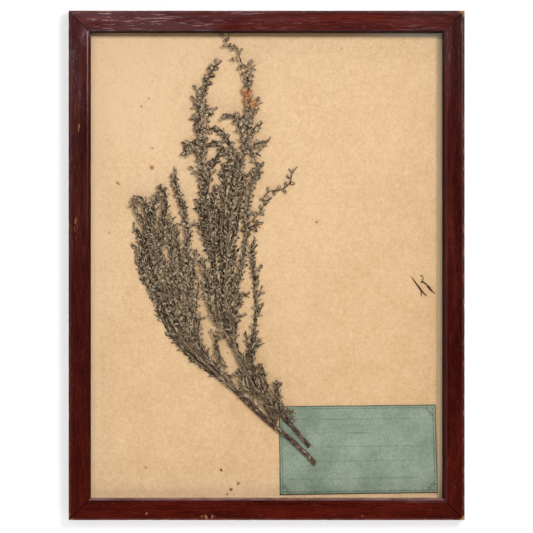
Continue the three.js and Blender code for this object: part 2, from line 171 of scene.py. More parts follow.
def length_of(vector):
    return wire(vector.tree, "ShaderNodeVectorMath", {0: vector}, "Value", operation="LENGTH")


def distance_to(where, point):
    inputs = {0: where, 1: tuple(point)}
    return wire(where.tree, "ShaderNodeVectorMath", inputs, "Value", operation="DISTANCE")


def ramp(value, low, high, low_out=0.0, high_out=1.0, smooth=True):
    """The value taken from the range low to high into the range low_out to high_out."""
    inputs = {"Value": value, "From Min": low, "From Max": high, "To Min": low_out, "To Max": high_out}
    kind = "SMOOTHSTEP" if smooth else "LINEAR"
    return wire(value.tree, "ShaderNodeMapRange", inputs, interpolation_type=kind)


def mix_colour(share, first, second):
    """The first colour with a share of the second laid over it."""
    inputs = {0: share}
    for key, colour in ((6, first), (7, second)):
        inputs[key] = colour if isinstance(colour, Wire) else (*colour, 1)
    return wire(share.tree, "ShaderNodeMix", inputs, 2, data_type="RGBA")


def speckle(where, scale, detail=3.0, roughness=0.55, stretch=(1, 1, 1), distortion=0.0):
    """Noise from 0 to 1 over a position, its features stretched along each axis."""
    if stretch != (1, 1, 1):
        squeeze = tuple(1 / s for s in stretch)
        where = wire(where.tree, "ShaderNodeMapping", {"Vector": where, "Scale": squeeze})
    inputs = {"Vector": where, "Scale": scale, "Detail": detail, "Roughness": roughness,
              "Distortion": distortion}
    return wire(where.tree, "ShaderNodeTexNoise", inputs, "Fac")


def colours(value, *stops):
    """A colour ramp through (position, linear colour) stops."""
    node = add(value.tree, "ShaderNodeValToRGB", {0: value})
    band = node.color_ramp.elements
    while len(band) < len(stops):
        band.new(0.5)
    for element, (position, colour) in zip(band, stops):
        element.position = position
        element.color = (*colour, 1)
    return Wire(value.tree, node.outputs[0])


def srgb(red, green, blue):
    """A linear colour from 8-bit screen values."""
    return tuple((c / 255 / 12.92) if c <= 10 else ((c / 255 + 0.055) / 1.055) ** 2.4
                 for c in (red, green, blue))


def new_material(name, **constants):
    """A material with one Principled shader, that shader and the Object coordinates."""
    material = bpy.data.materials.new(name)
    material.use_nodes = True
    shader = material.node_tree.nodes["Principled BSDF"]
    for socket, value in constants.items():
        shader.inputs[socket.replace("_", " ")].default_value = value
    return material, shader, wire(material.node_tree, "ShaderNodeTexCoord", output="Object")


def link_look(shader, colour, roughness=None, height=None, depth=0.2 * MM, strength=0.5):
    """Gives a shader its colour and, where they vary, its roughness and fine relief."""
    tree = colour.tree
    tree.links.new(colour.socket, shader.inputs["Base Color"])
    if roughness is not None:
        tree.links.new(roughness.socket, shader.inputs["Roughness"])
    if height is not None:
        bump = wire(tree, "ShaderNodeBump", {"Height": height, "Distance": depth, "Strength": strength})
        tree.links.new(bump.socket, shader.inputs["Normal"])


# Finishes

SCRAPES = [  # pixel, half width and half height in pixels
    ((76, 228), 2.4, 13), ((208, 516.5), 9, 3), ((146, 513.5), 2.5, 2), ((79, 128), 1.2, 6),
    ((362, 516), 3, 1.5),
]


def with_grain(grain_axis, stretch):
    """The stretch of a pattern that runs along the grain."""
    return {"X": (stretch, 1, 1), "Z": (1, 1, stretch)}[grain_axis]


def mahogany(name, grain_axis, lightness=1.0):
    """Red varnished wood with its grain along one axis, dark mitres, painted shade on the right stile's lip,
    and edges rubbed to bare wood.
    """
    material, shader, where = new_material(name, IOR=1.5, Specular_IOR_Level=0.16, Coat_Weight=0.03,
                                           Coat_Roughness=0.15)
    figure = speckle(where, 150, 5, 0.65, with_grain(grain_axis, 14), 0.5)
    pores = speckle(where, 1500, 2, 0.5, with_grain(grain_axis, 22))
    cloud = speckle(where, 30, 3, 0.6, with_grain(grain_axis, 14))
    wood = colours(cloud * 0.4 + figure * 0.9, (0.40, srgb(40, 7, 4)), (0.58, srgb(57, 11, 6)),
                   (0.74, srgb(72, 16, 8)), (0.90, srgb(92, 25, 12))) * lightness
    wood = mix_colour(ramp(pores, 0.54, 0.68, 0.0, 0.75), wood, srgb(20, 4, 3))
    wood = mix_colour(ramp(pores, 0.42, 0.30, 0.0, 0.35), wood, srgb(120, 46, 28))

    # Dark glue lines at the mitres
    x, y, z = split(where)
    from_side = FRAME_WIDTH / 2 - abs(x)
    from_end = FRAME_HEIGHT / 2 - abs(z + FRAME_CENTRE_DROP)
    joint = abs(from_side - from_end)
    wood = mix_colour(ramp(joint, 0.9 * MM, 0.25 * MM, 0.0, 0.9), wood, srgb(14, 4, 3))

    # The right stile's inner bevel is dull, and its lip is darkened by painted shade
    across = smaller(from_side, from_end)
    right_stile = ramp(x, 100 * MM, 140 * MM, 0.0, 0.75)
    dull = ramp(across, 13.8 * MM, 14.8 * MM) * right_stile
    shaded_lip = ramp(across, 16.6 * MM, 17.6 * MM) * right_stile
    wood = mix_colour(shaded_lip, wood, srgb(24, 5, 3))

    # Bare wood along the outer front edges, more of it at the corners and the right, and in the scrapes
    from_edge = larger(across, y + FRAME_DEPTH)
    from_corner = larger(from_side, from_end)
    rub = speckle(where, 130, 4, 0.7)
    edge_width = ramp(from_corner, 7 * MM, 1 * MM, 1.4 * MM, 3.2 * MM)
    edge = ramp(from_edge / edge_width, 1.0, 0.1)
    at_right = ramp(x, 0, FRAME_WIDTH / 2, 0.0, 0.08)
    at_corner = ramp(from_corner, 9 * MM, 1 * MM, 0.0, 0.2)
    bare = edge * ramp(rub + (at_right + at_corner), 0.63, 0.70)
    torn = ramp(speckle(where, 600, 3, 0.6, (1, 1, 4)), 0.48, 0.6, 0.0, 0.75)
    front_half = y < -FRAME_DEPTH / 2
    for pixel, half_width, half_height in SCRAPES:
        spot = on_sheet(pixel, 0)
        off = (where - (spot.x, 0, spot.z)) * (1 / (half_width * PIXEL), 0, 1 / (half_height * PIXEL))
        bare = larger(bare, ramp(length_of(off), 1.0, 0.4) * front_half * torn)
    wood = mix_colour(bare, wood, srgb(176, 124, 74))
    thin = ramp(from_edge, 2.4 * MM, 0.4 * MM) * ramp(rub, 0.42, 0.62)
    wood = mix_colour(thin * 0.3, wood, srgb(150, 76, 50))

    dust = ramp(speckle(where, 1300, 2, 0.5), 0.68, 0.76, 0.0, 0.35)
    wood = mix_colour(dust, wood, srgb(168, 140, 138))
    roughness = ramp(bare * 0.5 + figure, 0.3, 0.9, 0.12, 0.24)
    roughness = larger(roughness, ramp(from_edge, 3 * MM, 1 * MM, 0.0, 0.55))
    link_look(shader, wood, larger(roughness, dull), figure * 0.6 - pores * 0.5, 0.12 * MM, 0.35)
    return material


def reopened(material):
    """A finished material's shader and Object coordinates, for another layer."""
    tree = material.node_tree
    return tree.nodes["Principled BSDF"], wire(tree, "ShaderNodeTexCoord", output="Object")


def lay_over(shader, share, colour):
    """Lays a share of a colour over the colour that a shader has."""
    tree = share.tree
    under = Wire(tree, shader.inputs["Base Color"].links[0].from_socket)
    tree.links.new(mix_colour(share, under, colour).socket, shader.inputs["Base Color"])


def dust_and_highlight_mahogany(name):
    """The bottom rail's wood, a little lighter, with dust lying on its inner bevel that also paints the
    bevel's highlight.
    """
    material = mahogany(name, "X", 1.3)
    shader, where = reopened(material)
    z = split(where)[2]
    # Pale dust on the up-facing inner bevel, which is also a painted highlight there
    lit_ledge = ramp(z, FRAME_FOOT + 15.8 * MM, FRAME_FOOT + 17.6 * MM)
    dust = ramp(speckle(where, 500, 3, 0.6, (6, 1, 1)), 0.3, 0.7, 0.25, 0.75)
    lay_over(shader, lit_ledge * dust, srgb(172, 134, 128))
    return material


def sheen_and_bloom_mahogany(name, grain_axis, lightness=1.0):
    """Mahogany with pale patches and streaks towards the frame's top left corner: painted sheen and glints,
    partly a bloom on its old varnish.
    """
    material = mahogany(name, grain_axis, lightness)
    shader, where = reopened(material)
    x, y, z = split(where)
    # Painted sheen and glints: pale patches and streaks on the front face, with some real bloom on the
    # varnish
    corner = ramp(x, 30 * MM, -60 * MM, 0.25, 1.0) * ramp(z, -70 * MM, 5 * MM)
    front = ramp(y, -15 * MM, -19 * MM)
    patch = ramp(speckle(where, 70, 3, 0.6, with_grain(grain_axis, 5)), 0.38, 0.66, 0.0, 0.1)
    glint_length = {"X": 14, "Z": 5}[grain_axis]
    streak = ramp(speckle(where, 900, 3, 0.6, with_grain(grain_axis, glint_length)), 0.59, 0.63, 0.0, 6.0)
    lay_over(shader, corner * front * (patch + streak * patch), srgb(176, 146, 152))
    return material


def shaded_lip_mahogany(name):
    """The top rail's wood: with painted sheen and glints, a little lighter, and a dull lip darkened by
    painted shade above the sheet.
    """
    material = sheen_and_bloom_mahogany(name, "X", 1.35)
    shader, where = reopened(material)
    # Painted shade on the lip above the sheet, which is also made dull
    shaded_lip = FRAME_TOP - SIGHT_WIDTH
    lip_shade_mask = ramp(split(where)[2], shaded_lip + 2.8 * MM, shaded_lip + 1.2 * MM, 0.0, 0.9)
    lay_over(shader, lip_shade_mask, srgb(16, 4, 3))
    polish = Wire(lip_shade_mask.tree, shader.inputs["Roughness"].links[0].from_socket)
    lip_shade_mask.tree.links.new(larger(polish, lip_shade_mask).socket, shader.inputs["Roughness"])
    return material


def clear_glass(name):
    """Plain window glass. Lamps shine through it without a caustic."""
    material, shader, where = new_material(name, Base_Color=(1, 1, 1, 1), Roughness=0.0, IOR=1.45,
                                           Transmission_Weight=1.0)
    tree = where.tree
    shadow = wire(tree, "ShaderNodeLightPath", output="Is Shadow Ray")
    bounced = wire(tree, "ShaderNodeLightPath", output="Is Diffuse Ray")
    open_way = wire(tree, "ShaderNodeBsdfTransparent", {"Color": (0.96, 0.96, 0.96, 1)})
    inputs = {0: larger(shadow, bounced), 1: Wire(tree, shader.outputs[0]), 2: open_way}
    pane = wire(tree, "ShaderNodeMixShader", inputs)
    tree.links.new(pane.socket, tree.nodes["Material Output"].inputs["Surface"])
    return material


FOXING = [  # pixel, radius in pixels, strength
    ((148.4, 97.8), 1.6, 0.5), ((141, 106), 1.8, 0.5), ((152, 148), 1.6, 0.5), ((151.5, 167.4), 3.0, 0.8),
    ((117, 182.5), 1.9, 0.8), ((119, 184), 1.4, 0.6), ((109, 233), 1.6, 0.4), ((317, 222), 1.7, 0.7),
    ((342, 48), 1.5, 0.4), ((221, 470.5), 2.0, 1.0), ((238, 484), 2.1, 0.9), ((230.8, 490), 2.2, 1.0),
    ((227, 495), 1.5, 0.8), ((145.5, 468), 1.7, 0.6), ((227.7, 353.2), 1.2, 0.8), ((223.4, 358.6), 0.9, 0.8),
]
PAPER_MOTTLE = [  # noise scale, detail, roughness, and its share in the paper's tone
    (14, 4, 0.6, 0.45), (75, 4, 0.65, 0.4), (300, 2, 0.5, 0.38), (800, 2, 0.6, 0.95),
]


def buff_paper(name):
    """Aged mounting paper: mottled, painted paler along the left and the foot to lift the frame's shade
    there, with fibres, creases and foxing.
    """
    material, shader, where = new_material(name, Roughness=0.92, Specular_IOR_Level=0.2)
    x, _, z = split(where)
    to_right = ramp(x, -150 * MM, 150 * MM, smooth=False)
    to_foot = ramp(z, 0.0, -390 * MM, smooth=False)
    age_and_painted_light = to_right * 0.22 + to_foot * 0.38
    # Painted light: paler along the foot and the left, lifting the shade cast by the frame
    age_and_painted_light += ramp(z, up_sheet(466), up_sheet(494), 0.0, -0.3)
    age_and_painted_light += ramp(x, across_sheet(103), across_sheet(91), 0.0, -0.3)
    for scale, detail, roughness, share in PAPER_MOTTLE:
        age_and_painted_light += (speckle(where, scale, detail, roughness) - 0.5) * share
    paper = colours(age_and_painted_light, (0.0, srgb(248, 212, 168)), (0.4, srgb(233, 194, 147)), (0.9, srgb(213, 169, 119)))
    fibre = speckle(where, 900, 3, 0.6, (1, 1, 3.5))
    paper = mix_colour(ramp(fibre, 0.66, 0.78, 0.0, 0.16), paper, srgb(168, 120, 74))
    ragged = speckle(where, 700, 3) * (1.4 * PIXEL) - 0.8 * PIXEL
    for pixel, radius, strength in FOXING:
        away = distance_to(where, on_sheet(pixel, SHEET_FRONT)) + ragged
        share = ramp(away, radius * PIXEL, 0.35 * radius * PIXEL, 0.0, strength)
        paper = mix_colour(share, paper, srgb(160, 74, 0))
    crease = speckle(where, 34, 4, 0.55, (1.7, 1, 1), 1.2)
    link_look(shader, paper, None, fibre * 0.03 + crease, 3.0 * MM, 0.42)
    return material


def board_card(name):
    """Grey-brown pulp board, its front cleaner and paler where it shows past the sheet, and painted lighter
    beside the sheet's right edge, where the lip's shadow falls.
    """
    material, shader, where = new_material(name, Roughness=0.95, Specular_IOR_Level=0.2)
    cloud = speckle(where, 40, 4, 0.6)
    pulp = speckle(where, 700, 4, 0.7)
    card = colours(pulp * 0.75 + cloud * 0.3, (0.3, srgb(126, 98, 70)), (0.55, srgb(152, 122, 90)),
                   (0.8, srgb(178, 148, 114)))
    x, y, z = split(where)
    front = y < -6 * MM
    card = mix_colour(front * 0.85, card, srgb(190, 152, 108))
    above = front * ramp(x, 60 * MM, 120 * MM, 0.0, 0.8)
    card = mix_colour(above, card, srgb(190, 178, 162))
    # Painted light: the strip beside the sheet's right edge is made brighter against the shadow of the right
    # stile's lip
    beside = front * ramp(x, 139 * MM, 141 * MM) * (z < 5 * MM)
    card = mix_colour(beside, card, srgb(255, 226, 180))
    link_look(shader, card, None, pulp, 0.15 * MM, 0.5)
    return material


LABEL_WIDTH = 130.3 * MM
LABEL_HEIGHT = 73.2 * MM
LABEL_SCROLLS = [  # from the side, from the end, radius, in millimetres
    (4.2, 4.2, 1.5), (7.2, 4.0, 1.2), (4.0, 7.2, 1.2), (9.4, 3.6, 0.8), (3.6, 9.4, 0.8), (3.4, 3.4, 4.2),
]
LABEL_LINES = [  # height, start and end in millimetres, strength
    (62, 12, 116, 0.5), (57, 52, 78, 0.3), (39.3, 26, 122, 0.42), (27.4, 26, 122, 0.38), (13, 8, 114, 0.45),
]
LABEL_SWELL = (64 * MM, 50.6 * MM)
LABEL_SWELL_HALF_LENGTH = 13 * MM


def green_label(name):
    """Green paper: a dark cut edge, a fine border, scrolled corners, ruled lines and one swelled line."""
    material, shader, where = new_material(name, Roughness=0.9, Specular_IOR_Level=0.2)
    u, v, _ = split(wire(where.tree, "ShaderNodeUVMap", uv_map="label"))
    across = u * LABEL_WIDTH
    up = v * LABEL_HEIGHT
    from_side = smaller(across, LABEL_WIDTH - across)
    from_end = smaller(up, LABEL_HEIGHT - up)
    inset = smaller(from_side, from_end)
    cloud = speckle(where, 45, 4, 0.6)
    grain = speckle(where, 620, 4, 0.7)
    paper = colours(grain * 0.6 + cloud * 0.5, (0.3, srgb(110, 127, 108)), (0.55, srgb(146, 161, 140)),
                    (0.8, srgb(180, 189, 166)))
    worn = ramp(speckle(where, 900, 3, 0.6), 0.36, 0.62, 0.15, 1.0)

    def rule(value, place, half_width, strength):
        """A worn line where a value passes a place."""
        return ramp(abs(value - place), half_width, half_width * 0.35, 0.0, strength) * worn

    marks = [ramp(inset, 0.95 * MM, 0.3 * MM, 0.0, 0.85), rule(inset, 2.4 * MM, 0.55 * MM, 0.75)]
    corner = wire(where.tree, "ShaderNodeCombineXYZ", {0: from_side, 1: from_end})
    in_corner = ramp(from_side + from_end, 14.5 * MM, 11.5 * MM)
    for side, end, radius in LABEL_SCROLLS:
        ring = rule(distance_to(corner, (side * MM, end * MM, 0)), radius * MM, 0.6 * MM, 0.75)
        marks.append(ring * in_corner)
    from_middle = abs(across - LABEL_SWELL[0])
    half_height = ramp(from_middle, LABEL_SWELL_HALF_LENGTH, 0.0, 0.08 * MM, 0.75 * MM)
    swelled = (abs(up - LABEL_SWELL[1]) < half_height) * (from_middle < LABEL_SWELL_HALF_LENGTH)
    marks.append(swelled * (worn * 0.6))
    for height, start, end, strength in LABEL_LINES:
        span = (across > start * MM) * (across < end * MM)
        marks.append(rule(up, height * MM, 0.45 * MM, strength) * span)
    drawn = marks[0]
    for mark in marks[1:]:
        drawn = larger(drawn, mark)
    paper = mix_colour(drawn, paper, srgb(40, 58, 54))
    stain = ramp(speckle(where, 240, 4, 0.65), 0.63, 0.74, 0.0, 0.6)
    paper = mix_colour(stain, paper, srgb(150, 132, 82))
    speck = ramp(speckle(where, 1150, 2, 0.5), 0.66, 0.73, 0.0, 0.55)
    paper = mix_colour(speck, paper, srgb(86, 84, 62))
    link_look(shader, paper, None, grain * 0.05 + speckle(where, 40, 3), 1.6 * MM, 0.4)
    return material


def old_metal(name, dark, mid, bright, roughness):
    """Worn metal with tarnish in patches."""
    material, shader, where = new_material(name, Metallic=1.0)
    patch = speckle(where, 320, 4, 0.65)
    scratch = speckle(where, 1500, 2, 0.5, (6, 1, 1))
    metal = colours(scratch * 0.35 + patch * 0.7, (0.3, dark), (0.52, mid), (0.72, bright))
    link_look(shader, metal, ramp(patch, 0.3, 0.7, roughness + 0.18, roughness), scratch, 0.03 * MM, 0.3)
    return material


STEM_LEAN = math.radians(-42)


def stem_bark(name, *tones):
    """Dry bark with paler worn ridges along the stem, in four tones from dark to pale."""
    material, shader, where = new_material(name, Specular_IOR_Level=0.3)
    turned = wire(where.tree, "ShaderNodeMapping", {"Vector": where, "Rotation": (0, STEM_LEAN, 0)})
    streak = speckle(turned, 1000, 4, 0.65, (4, 1, 1))
    patch = speckle(where, 260, 3, 0.6)
    bark = colours(patch * 0.4 + streak * 0.7, *zip((0.40, 0.50, 0.58, 0.69), tones))
    link_look(shader, bark, ramp(streak, 0.3, 0.7, 0.9, 0.6), streak, 0.25 * MM, 0.7)
    return material


def cut_wood(name):
    """The orange-brown wood of a cut stem."""
    material, shader, where = new_material(name, Roughness=0.85)
    pith = speckle(where, 1100, 3, 0.6)
    wood = colours(pith, (0.3, srgb(130, 78, 40)), (0.55, srgb(176, 116, 66)), (0.8, srgb(206, 150, 96)))
    link_look(shader, wood, None, pith, 0.1 * MM, 0.4)
    return material


RUSTED_LEAVES = [  # pixel, radius in pixels
    ((245.5, 94.5), 8), ((243.5, 105), 4.5), ((254, 104), 5.5), ((253.5, 92.5), 3),
]


def dry_leaf(name):
    """Grey-olive dried leaves: each has its own tone and a pale rib; the rib's paleness is partly a painted
    highlight on the outer back, with painted shade on the inner side and at the base. A few are rusted.
    """
    material, shader, where = new_material(name, Roughness=0.78, Specular_IOR_Level=0.3)

    def carried(attribute):
        return wire(where.tree, "ShaderNodeAttribute", output="Fac", attribute_name=attribute)

    mottle = speckle(where, 900, 3, 0.6)
    level = carried("tuft_tone") * 0.35 + (mottle * 0.2 + carried("leaf_tone") * 0.45)
    leaf = colours(level, (0.15, srgb(48, 31, 18)), (0.40, srgb(103, 81, 57)), (0.62, srgb(155, 130, 100)),
                   (0.88, srgb(214, 190, 156)))
    # Painted highlight and shade: pale on the leaf's outer back, dark on its inner side and towards its base
    rib = carried("leaf_rib")
    leaf = mix_colour(ramp(rib, 0.4, 0.9, 0.0, 0.76), leaf, srgb(222, 202, 168))
    leaf = mix_colour(ramp(rib, 0.35, 0.0, 0.0, 0.86), leaf, srgb(33, 20, 11))
    shaded_base = ramp(carried("leaf_share"), 0.24, 0.02, 0.0, 0.85)
    leaf = mix_colour(shaded_base, leaf, srgb(37, 23, 13))
    rust = colours(level, (0.2, srgb(136, 70, 30)), (0.5, srgb(200, 124, 68)), (0.8, srgb(236, 182, 128)))
    flat = where * (1, 0, 1)
    for pixel, radius in RUSTED_LEAVES:
        away = distance_to(flat, on_sheet(pixel, 0))
        leaf = mix_colour(ramp(away, radius * PIXEL, 0.5 * radius * PIXEL, 0.0, 0.9), leaf, rust)
    link_look(shader, leaf, None, mottle, 0.12 * MM, 0.5)
    return material


BOTTOM_WOOD = dust_and_highlight_mahogany("bottom_rail_mahogany")
STILE_WOOD = sheen_and_bloom_mahogany("stile_mahogany", "Z")
TOP_WOOD = shaded_lip_mahogany("top_rail_mahogany")
GLASS = clear_glass("picture_glass")
PAPER = buff_paper("buff_sheet_paper")
CARD = board_card("backing_card")
LABEL_PAPER = green_label("green_label_paper")
STEEL = old_metal("brad_steel", srgb(70, 62, 54), srgb(128, 124, 118), srgb(176, 174, 170), 0.34)
BRASS = old_metal("hanger_brass", srgb(96, 70, 32), srgb(168, 132, 66), srgb(206, 172, 100), 0.3)
BARK = stem_bark("stem_bark", srgb(26, 16, 9), srgb(66, 46, 31), srgb(104, 78, 56), srgb(192, 170, 142))
TWIG_BARK = stem_bark("twig_bark", srgb(40, 26, 15), srgb(92, 71, 51), srgb(138, 116, 90),
                      srgb(196, 176, 146))
CUT = cut_wood("cut_stem_wood")
LEAF = dry_leaf("dry_leaf")


# Pieces

def new_piece(name, mesh, materials, slot, *nodes):
    """A finished piece of the frame, in place of its CAD nodes."""
    piece = bpy.data.objects.new(name, mesh)
    bpy.context.scene.collection.objects.link(piece)
    if not mesh.materials:
        for material in materials:
            mesh.materials.append(material)
    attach(piece, "root")
    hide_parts(*nodes)
    return piece


def dress_node(name, material):
    """A CAD node kept as it is, with a better finish."""
    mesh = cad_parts[name].data
    mesh.materials.clear()
    mesh.materials.append(material)


def mesh_from(name, points, faces, smooth=True):
    mesh = bpy.data.meshes.new(name)
    mesh.from_pydata([tuple(p) for p in points], [], faces)
    mesh.polygons.foreach_set("use_smooth", [smooth] * len(faces))
    mesh.update()
    return mesh


# Frame rails: the moulding's section, with rounded arrises, swept between its mitres

ARRIS_STEPS = 6
RAIL_STEP = 2.2 * MM
FACE_WEAR = 0.05 * MM
EDGE_WEAR = 0.38 * MM
# In millimetres, like the section
OUTER_ARRIS = 1.6
WORN_BAND = 3.0
WORN_FROM_DEPTH = 12
FRONT_FROM_DEPTH = 19
INNER_LIP = 17


def moulding_section():
    """(width from the outer edge, depth from the wall) round the section, in millimetres."""
    rabbet_and_shoulder = [(0, 0), (10, 0), (10, 8.4), (17, 8.4)]
    glass_groove = [(17, 14.7), (12.5, 14.7), (12.5, 17.3), (18.5, 17.3)]
    section = rabbet_and_shoulder + glass_groove
    for i in range(ARRIS_STEPS + 1):  # the inner bevel, as a curve over three points
        t = i / ARRIS_STEPS
        a, b, c = (1 - t) ** 2, 2 * t * (1 - t), t ** 2
        section.append((18.5 * a + 17.84 * b + 16.3 * c, 19.4 * a + 21.22 * b + 22 * c))
    section += [(width, 22) for width in (14, 11.5, 9, 6.5, 4, 2.6)]
    for i in range(ARRIS_STEPS + 1):
        turn = math.radians(90 + 90 * i / ARRIS_STEPS)
        section.append((OUTER_ARRIS + OUTER_ARRIS * math.cos(turn), 20.4 + OUTER_ARRIS * math.sin(turn)))
    section += [(0, depth) for depth in (16, 11, 5.5)]
    return section


def frame_rail(name, length, turn, middle, material, seed):
    """One mitred length. The handled edges are a little uneven, always inside the true section."""
    section = moulding_section()
    steps = int(length / RAIL_STEP)
    place = Matrix.Translation((middle[0], 0, middle[1] - FRAME_CENTRE_DROP)) @ Matrix.Rotation(turn, 4, "Y")
    points = []
    for i in range(steps + 1):
        for width, depth in section:
            inset = width * MM + MITRE_GAP / 2
            along = inset + (length - 2 * inset) * i / steps
            dent = noise.fractal(Vector((along * 160, width * 0.9 + seed * 17, depth * 0.9)), 1.0, 2.0, 3)
            handled = depth > WORN_FROM_DEPTH
            edge = max(0.0, 1 - width / WORN_BAND) if handled else 0.0
            worn = FACE_WEAR + EDGE_WEAR * edge * max(0.0, dent) if handled and width < INNER_LIP else 0.0
            back = worn if depth > FRONT_FROM_DEPTH else 0.0
            across = max(width, 0.01) * MM + 0.7 * worn * edge
            points.append(place @ Vector((along - length / 2, -depth * MM + back, across)))
    ring = len(section)
    faces = []
    for i in range(steps):
        for j in range(ring):
            k = (j + 1) % ring
            faces.append((i * ring + j, i * ring + k, (i + 1) * ring + k, (i + 1) * ring + j))
    faces.append(tuple(reversed(range(ring))))
    faces.append(tuple(range(steps * ring, (steps + 1) * ring)))
    mesh = mesh_from(name, points, faces)
    mesh.set_sharp_from_angle(angle=math.radians(38))
    face_out(mesh)
    return new_piece(name + "_wood", mesh, [material], "frame_wood", name)


def face_out(mesh):
    """Turns every face of a closed mesh outwards."""
    shell = bmesh.new()
    shell.from_mesh(mesh)
    bmesh.ops.recalc_face_normals(shell, faces=shell.faces)
    shell.to_mesh(mesh)
    shell.free()


def make_frame():
    half_width = FRAME_WIDTH / 2
    half_height = FRAME_HEIGHT / 2
    frame_rail("rail_bottom", FRAME_WIDTH, 0, (0, -half_height), BOTTOM_WOOD, 1)
    frame_rail("rail_top", FRAME_WIDTH, math.pi, (0, half_height), TOP_WOOD, 2)
    frame_rail("stile_left", FRAME_HEIGHT, math.pi / 2, (-half_width, 0), STILE_WOOD, 3)
    frame_rail("stile_right", FRAME_HEIGHT, -math.pi / 2, (half_width, 0), STILE_WOOD, 4)


# Papers: thin closed sheets with a gentle cockle

LABEL_CORNERS = [(279.8, 495.8), (438.4, 493.4), (436, 405), (279, 406.7)]  # pixels
SHEET_TOP_RIGHT_RISE = 1.2 * MM
SHEET_TOP_LEFT_RISE = 2.2 * MM


def paper_piece(name, corners, columns, rows, back, thickness, cockle, ragged, uv_name):
    """A closed sheet between four corner points (x, z), left to right and bottom to top."""
    low_left, low_right, high_right, high_left = corners
    centre = (low_left + high_right) / 2
    points = []
    flat = []
    for side in (0, 1):
        for j in range(rows + 1):
            v = j / rows
            for i in range(columns + 1):
                u = i / columns
                bottom = low_left.lerp(low_right, u)
                top = high_left.lerp(high_right, u)
                point = bottom.lerp(top, v)
                if i in (0, columns) or j in (0, rows):
                    pull = abs(noise.noise(Vector((point.x * 55, 3.1, point.y * 55)))) * ragged
                    point += (centre - point).normalized() * pull
                wave = noise.noise(Vector((point.x * 17, 7.7, point.y * 13)))
                wave += 0.4 * noise.noise(Vector((point.x * 48, 1.3, point.y * 40)))
                depth = back + cockle * (0.5 + 0.5 * max(-1.0, min(1.0, wave)))
                points.append(Vector((point.x, -depth - side * thickness, point.y)))
                flat.append((u, v))
    wide = columns + 1
    layer = wide * (rows + 1)
    faces = []
    for j in range(rows):
        for i in range(columns):
            a = j * wide + i
            loop = (a, a + 1, a + 1 + wide, a + wide)
            faces.append(loop)
            faces.append(tuple(layer + k for k in reversed(loop)))
    rim = list(range(columns))
    rim += [columns + j * wide for j in range(rows)]
    rim += [layer - 1 - i for i in range(columns)]
    rim += [(rows - j) * wide for j in range(rows)]
    for a, b in zip(rim, rim[1:] + rim[:1]):
        faces.append((b, a, layer + a, layer + b))
    mesh = mesh_from(name, points, faces)
    uv = mesh.uv_layers.new(name=uv_name)
    for loop in mesh.loops:
        uv.data[loop.index].uv = flat[loop.vertex_index]
    face_out(mesh)
    return mesh


def make_papers():
    low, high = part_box("sheet")
    corners = [Vector((low.x, low.z)), Vector((high.x, low.z)),
               Vector((high.x, high.z + SHEET_TOP_RIGHT_RISE)), Vector((low.x, high.z + SHEET_TOP_LEFT_RISE))]
    sheet = paper_piece("sheet_paper", corners, columns=96, rows=126, back=SHEET_BACK - 0.1 * MM,
                        thickness=0.22 * MM, cockle=0.45 * MM, ragged=0.35 * MM, uv_name="sheet")
    new_piece("sheet_paper", sheet, [PAPER], "buff_paper", "sheet")
    spots = [on_sheet(pixel, 0) for pixel in LABEL_CORNERS]
    corners = [Vector((spot.x, spot.z)) for spot in spots]
    label = paper_piece("label_paper", corners, columns=56, rows=34, back=LABEL_BACK,
                        thickness=0.12 * MM, cockle=0.3 * MM, ragged=0.25 * MM, uv_name="label")
    new_piece("label_paper", label, [LABEL_PAPER], "label_paper", "label")


# Cut stems and loose stalks: rings along a smooth route, ribbed and knotted, with flat cut ends

STEM_SIDES = 16
STEM_STEP = 0.9 * MM
STALK_STEP = 0.5 * MM
CURVE_STEPS = 24  # between two pixels of a route


def smooth_route(pixels, depth, step):
    """Points a step apart along a Catmull-Rom curve through pixels of the photograph."""
    knots = [on_sheet(pixel, depth) for pixel in pixels]
    knots = [2 * knots[0] - knots[1]] + knots + [2 * knots[-1] - knots[-2]]
    dense = []
    for a, b, c, d in zip(knots, knots[1:], knots[2:], knots[3:]):
        for i in range(CURVE_STEPS):
            t = i / CURVE_STEPS
            dense.append(0.5 * (2 * b + (c - a) * t + (2 * a - 5 * b + 4 * c - d) * t ** 2
                                + (3 * b - a - 3 * c + d) * t ** 3))
    dense.append(knots[-2])
    length = sum((b - a).length for a, b in zip(dense, dense[1:]))
    count = max(3, round(length / step))
    route = [dense[0]]
    walked = 0.0
    for a, b in zip(dense, dense[1:]):
        part = (b - a).length
        while len(route) < count and walked + part >= length * len(route) / count:
            share = (length * len(route) / count - walked) / part
            route.append(a.lerp(b, share))
        walked += part
    route.append(dense[-1])
    return route


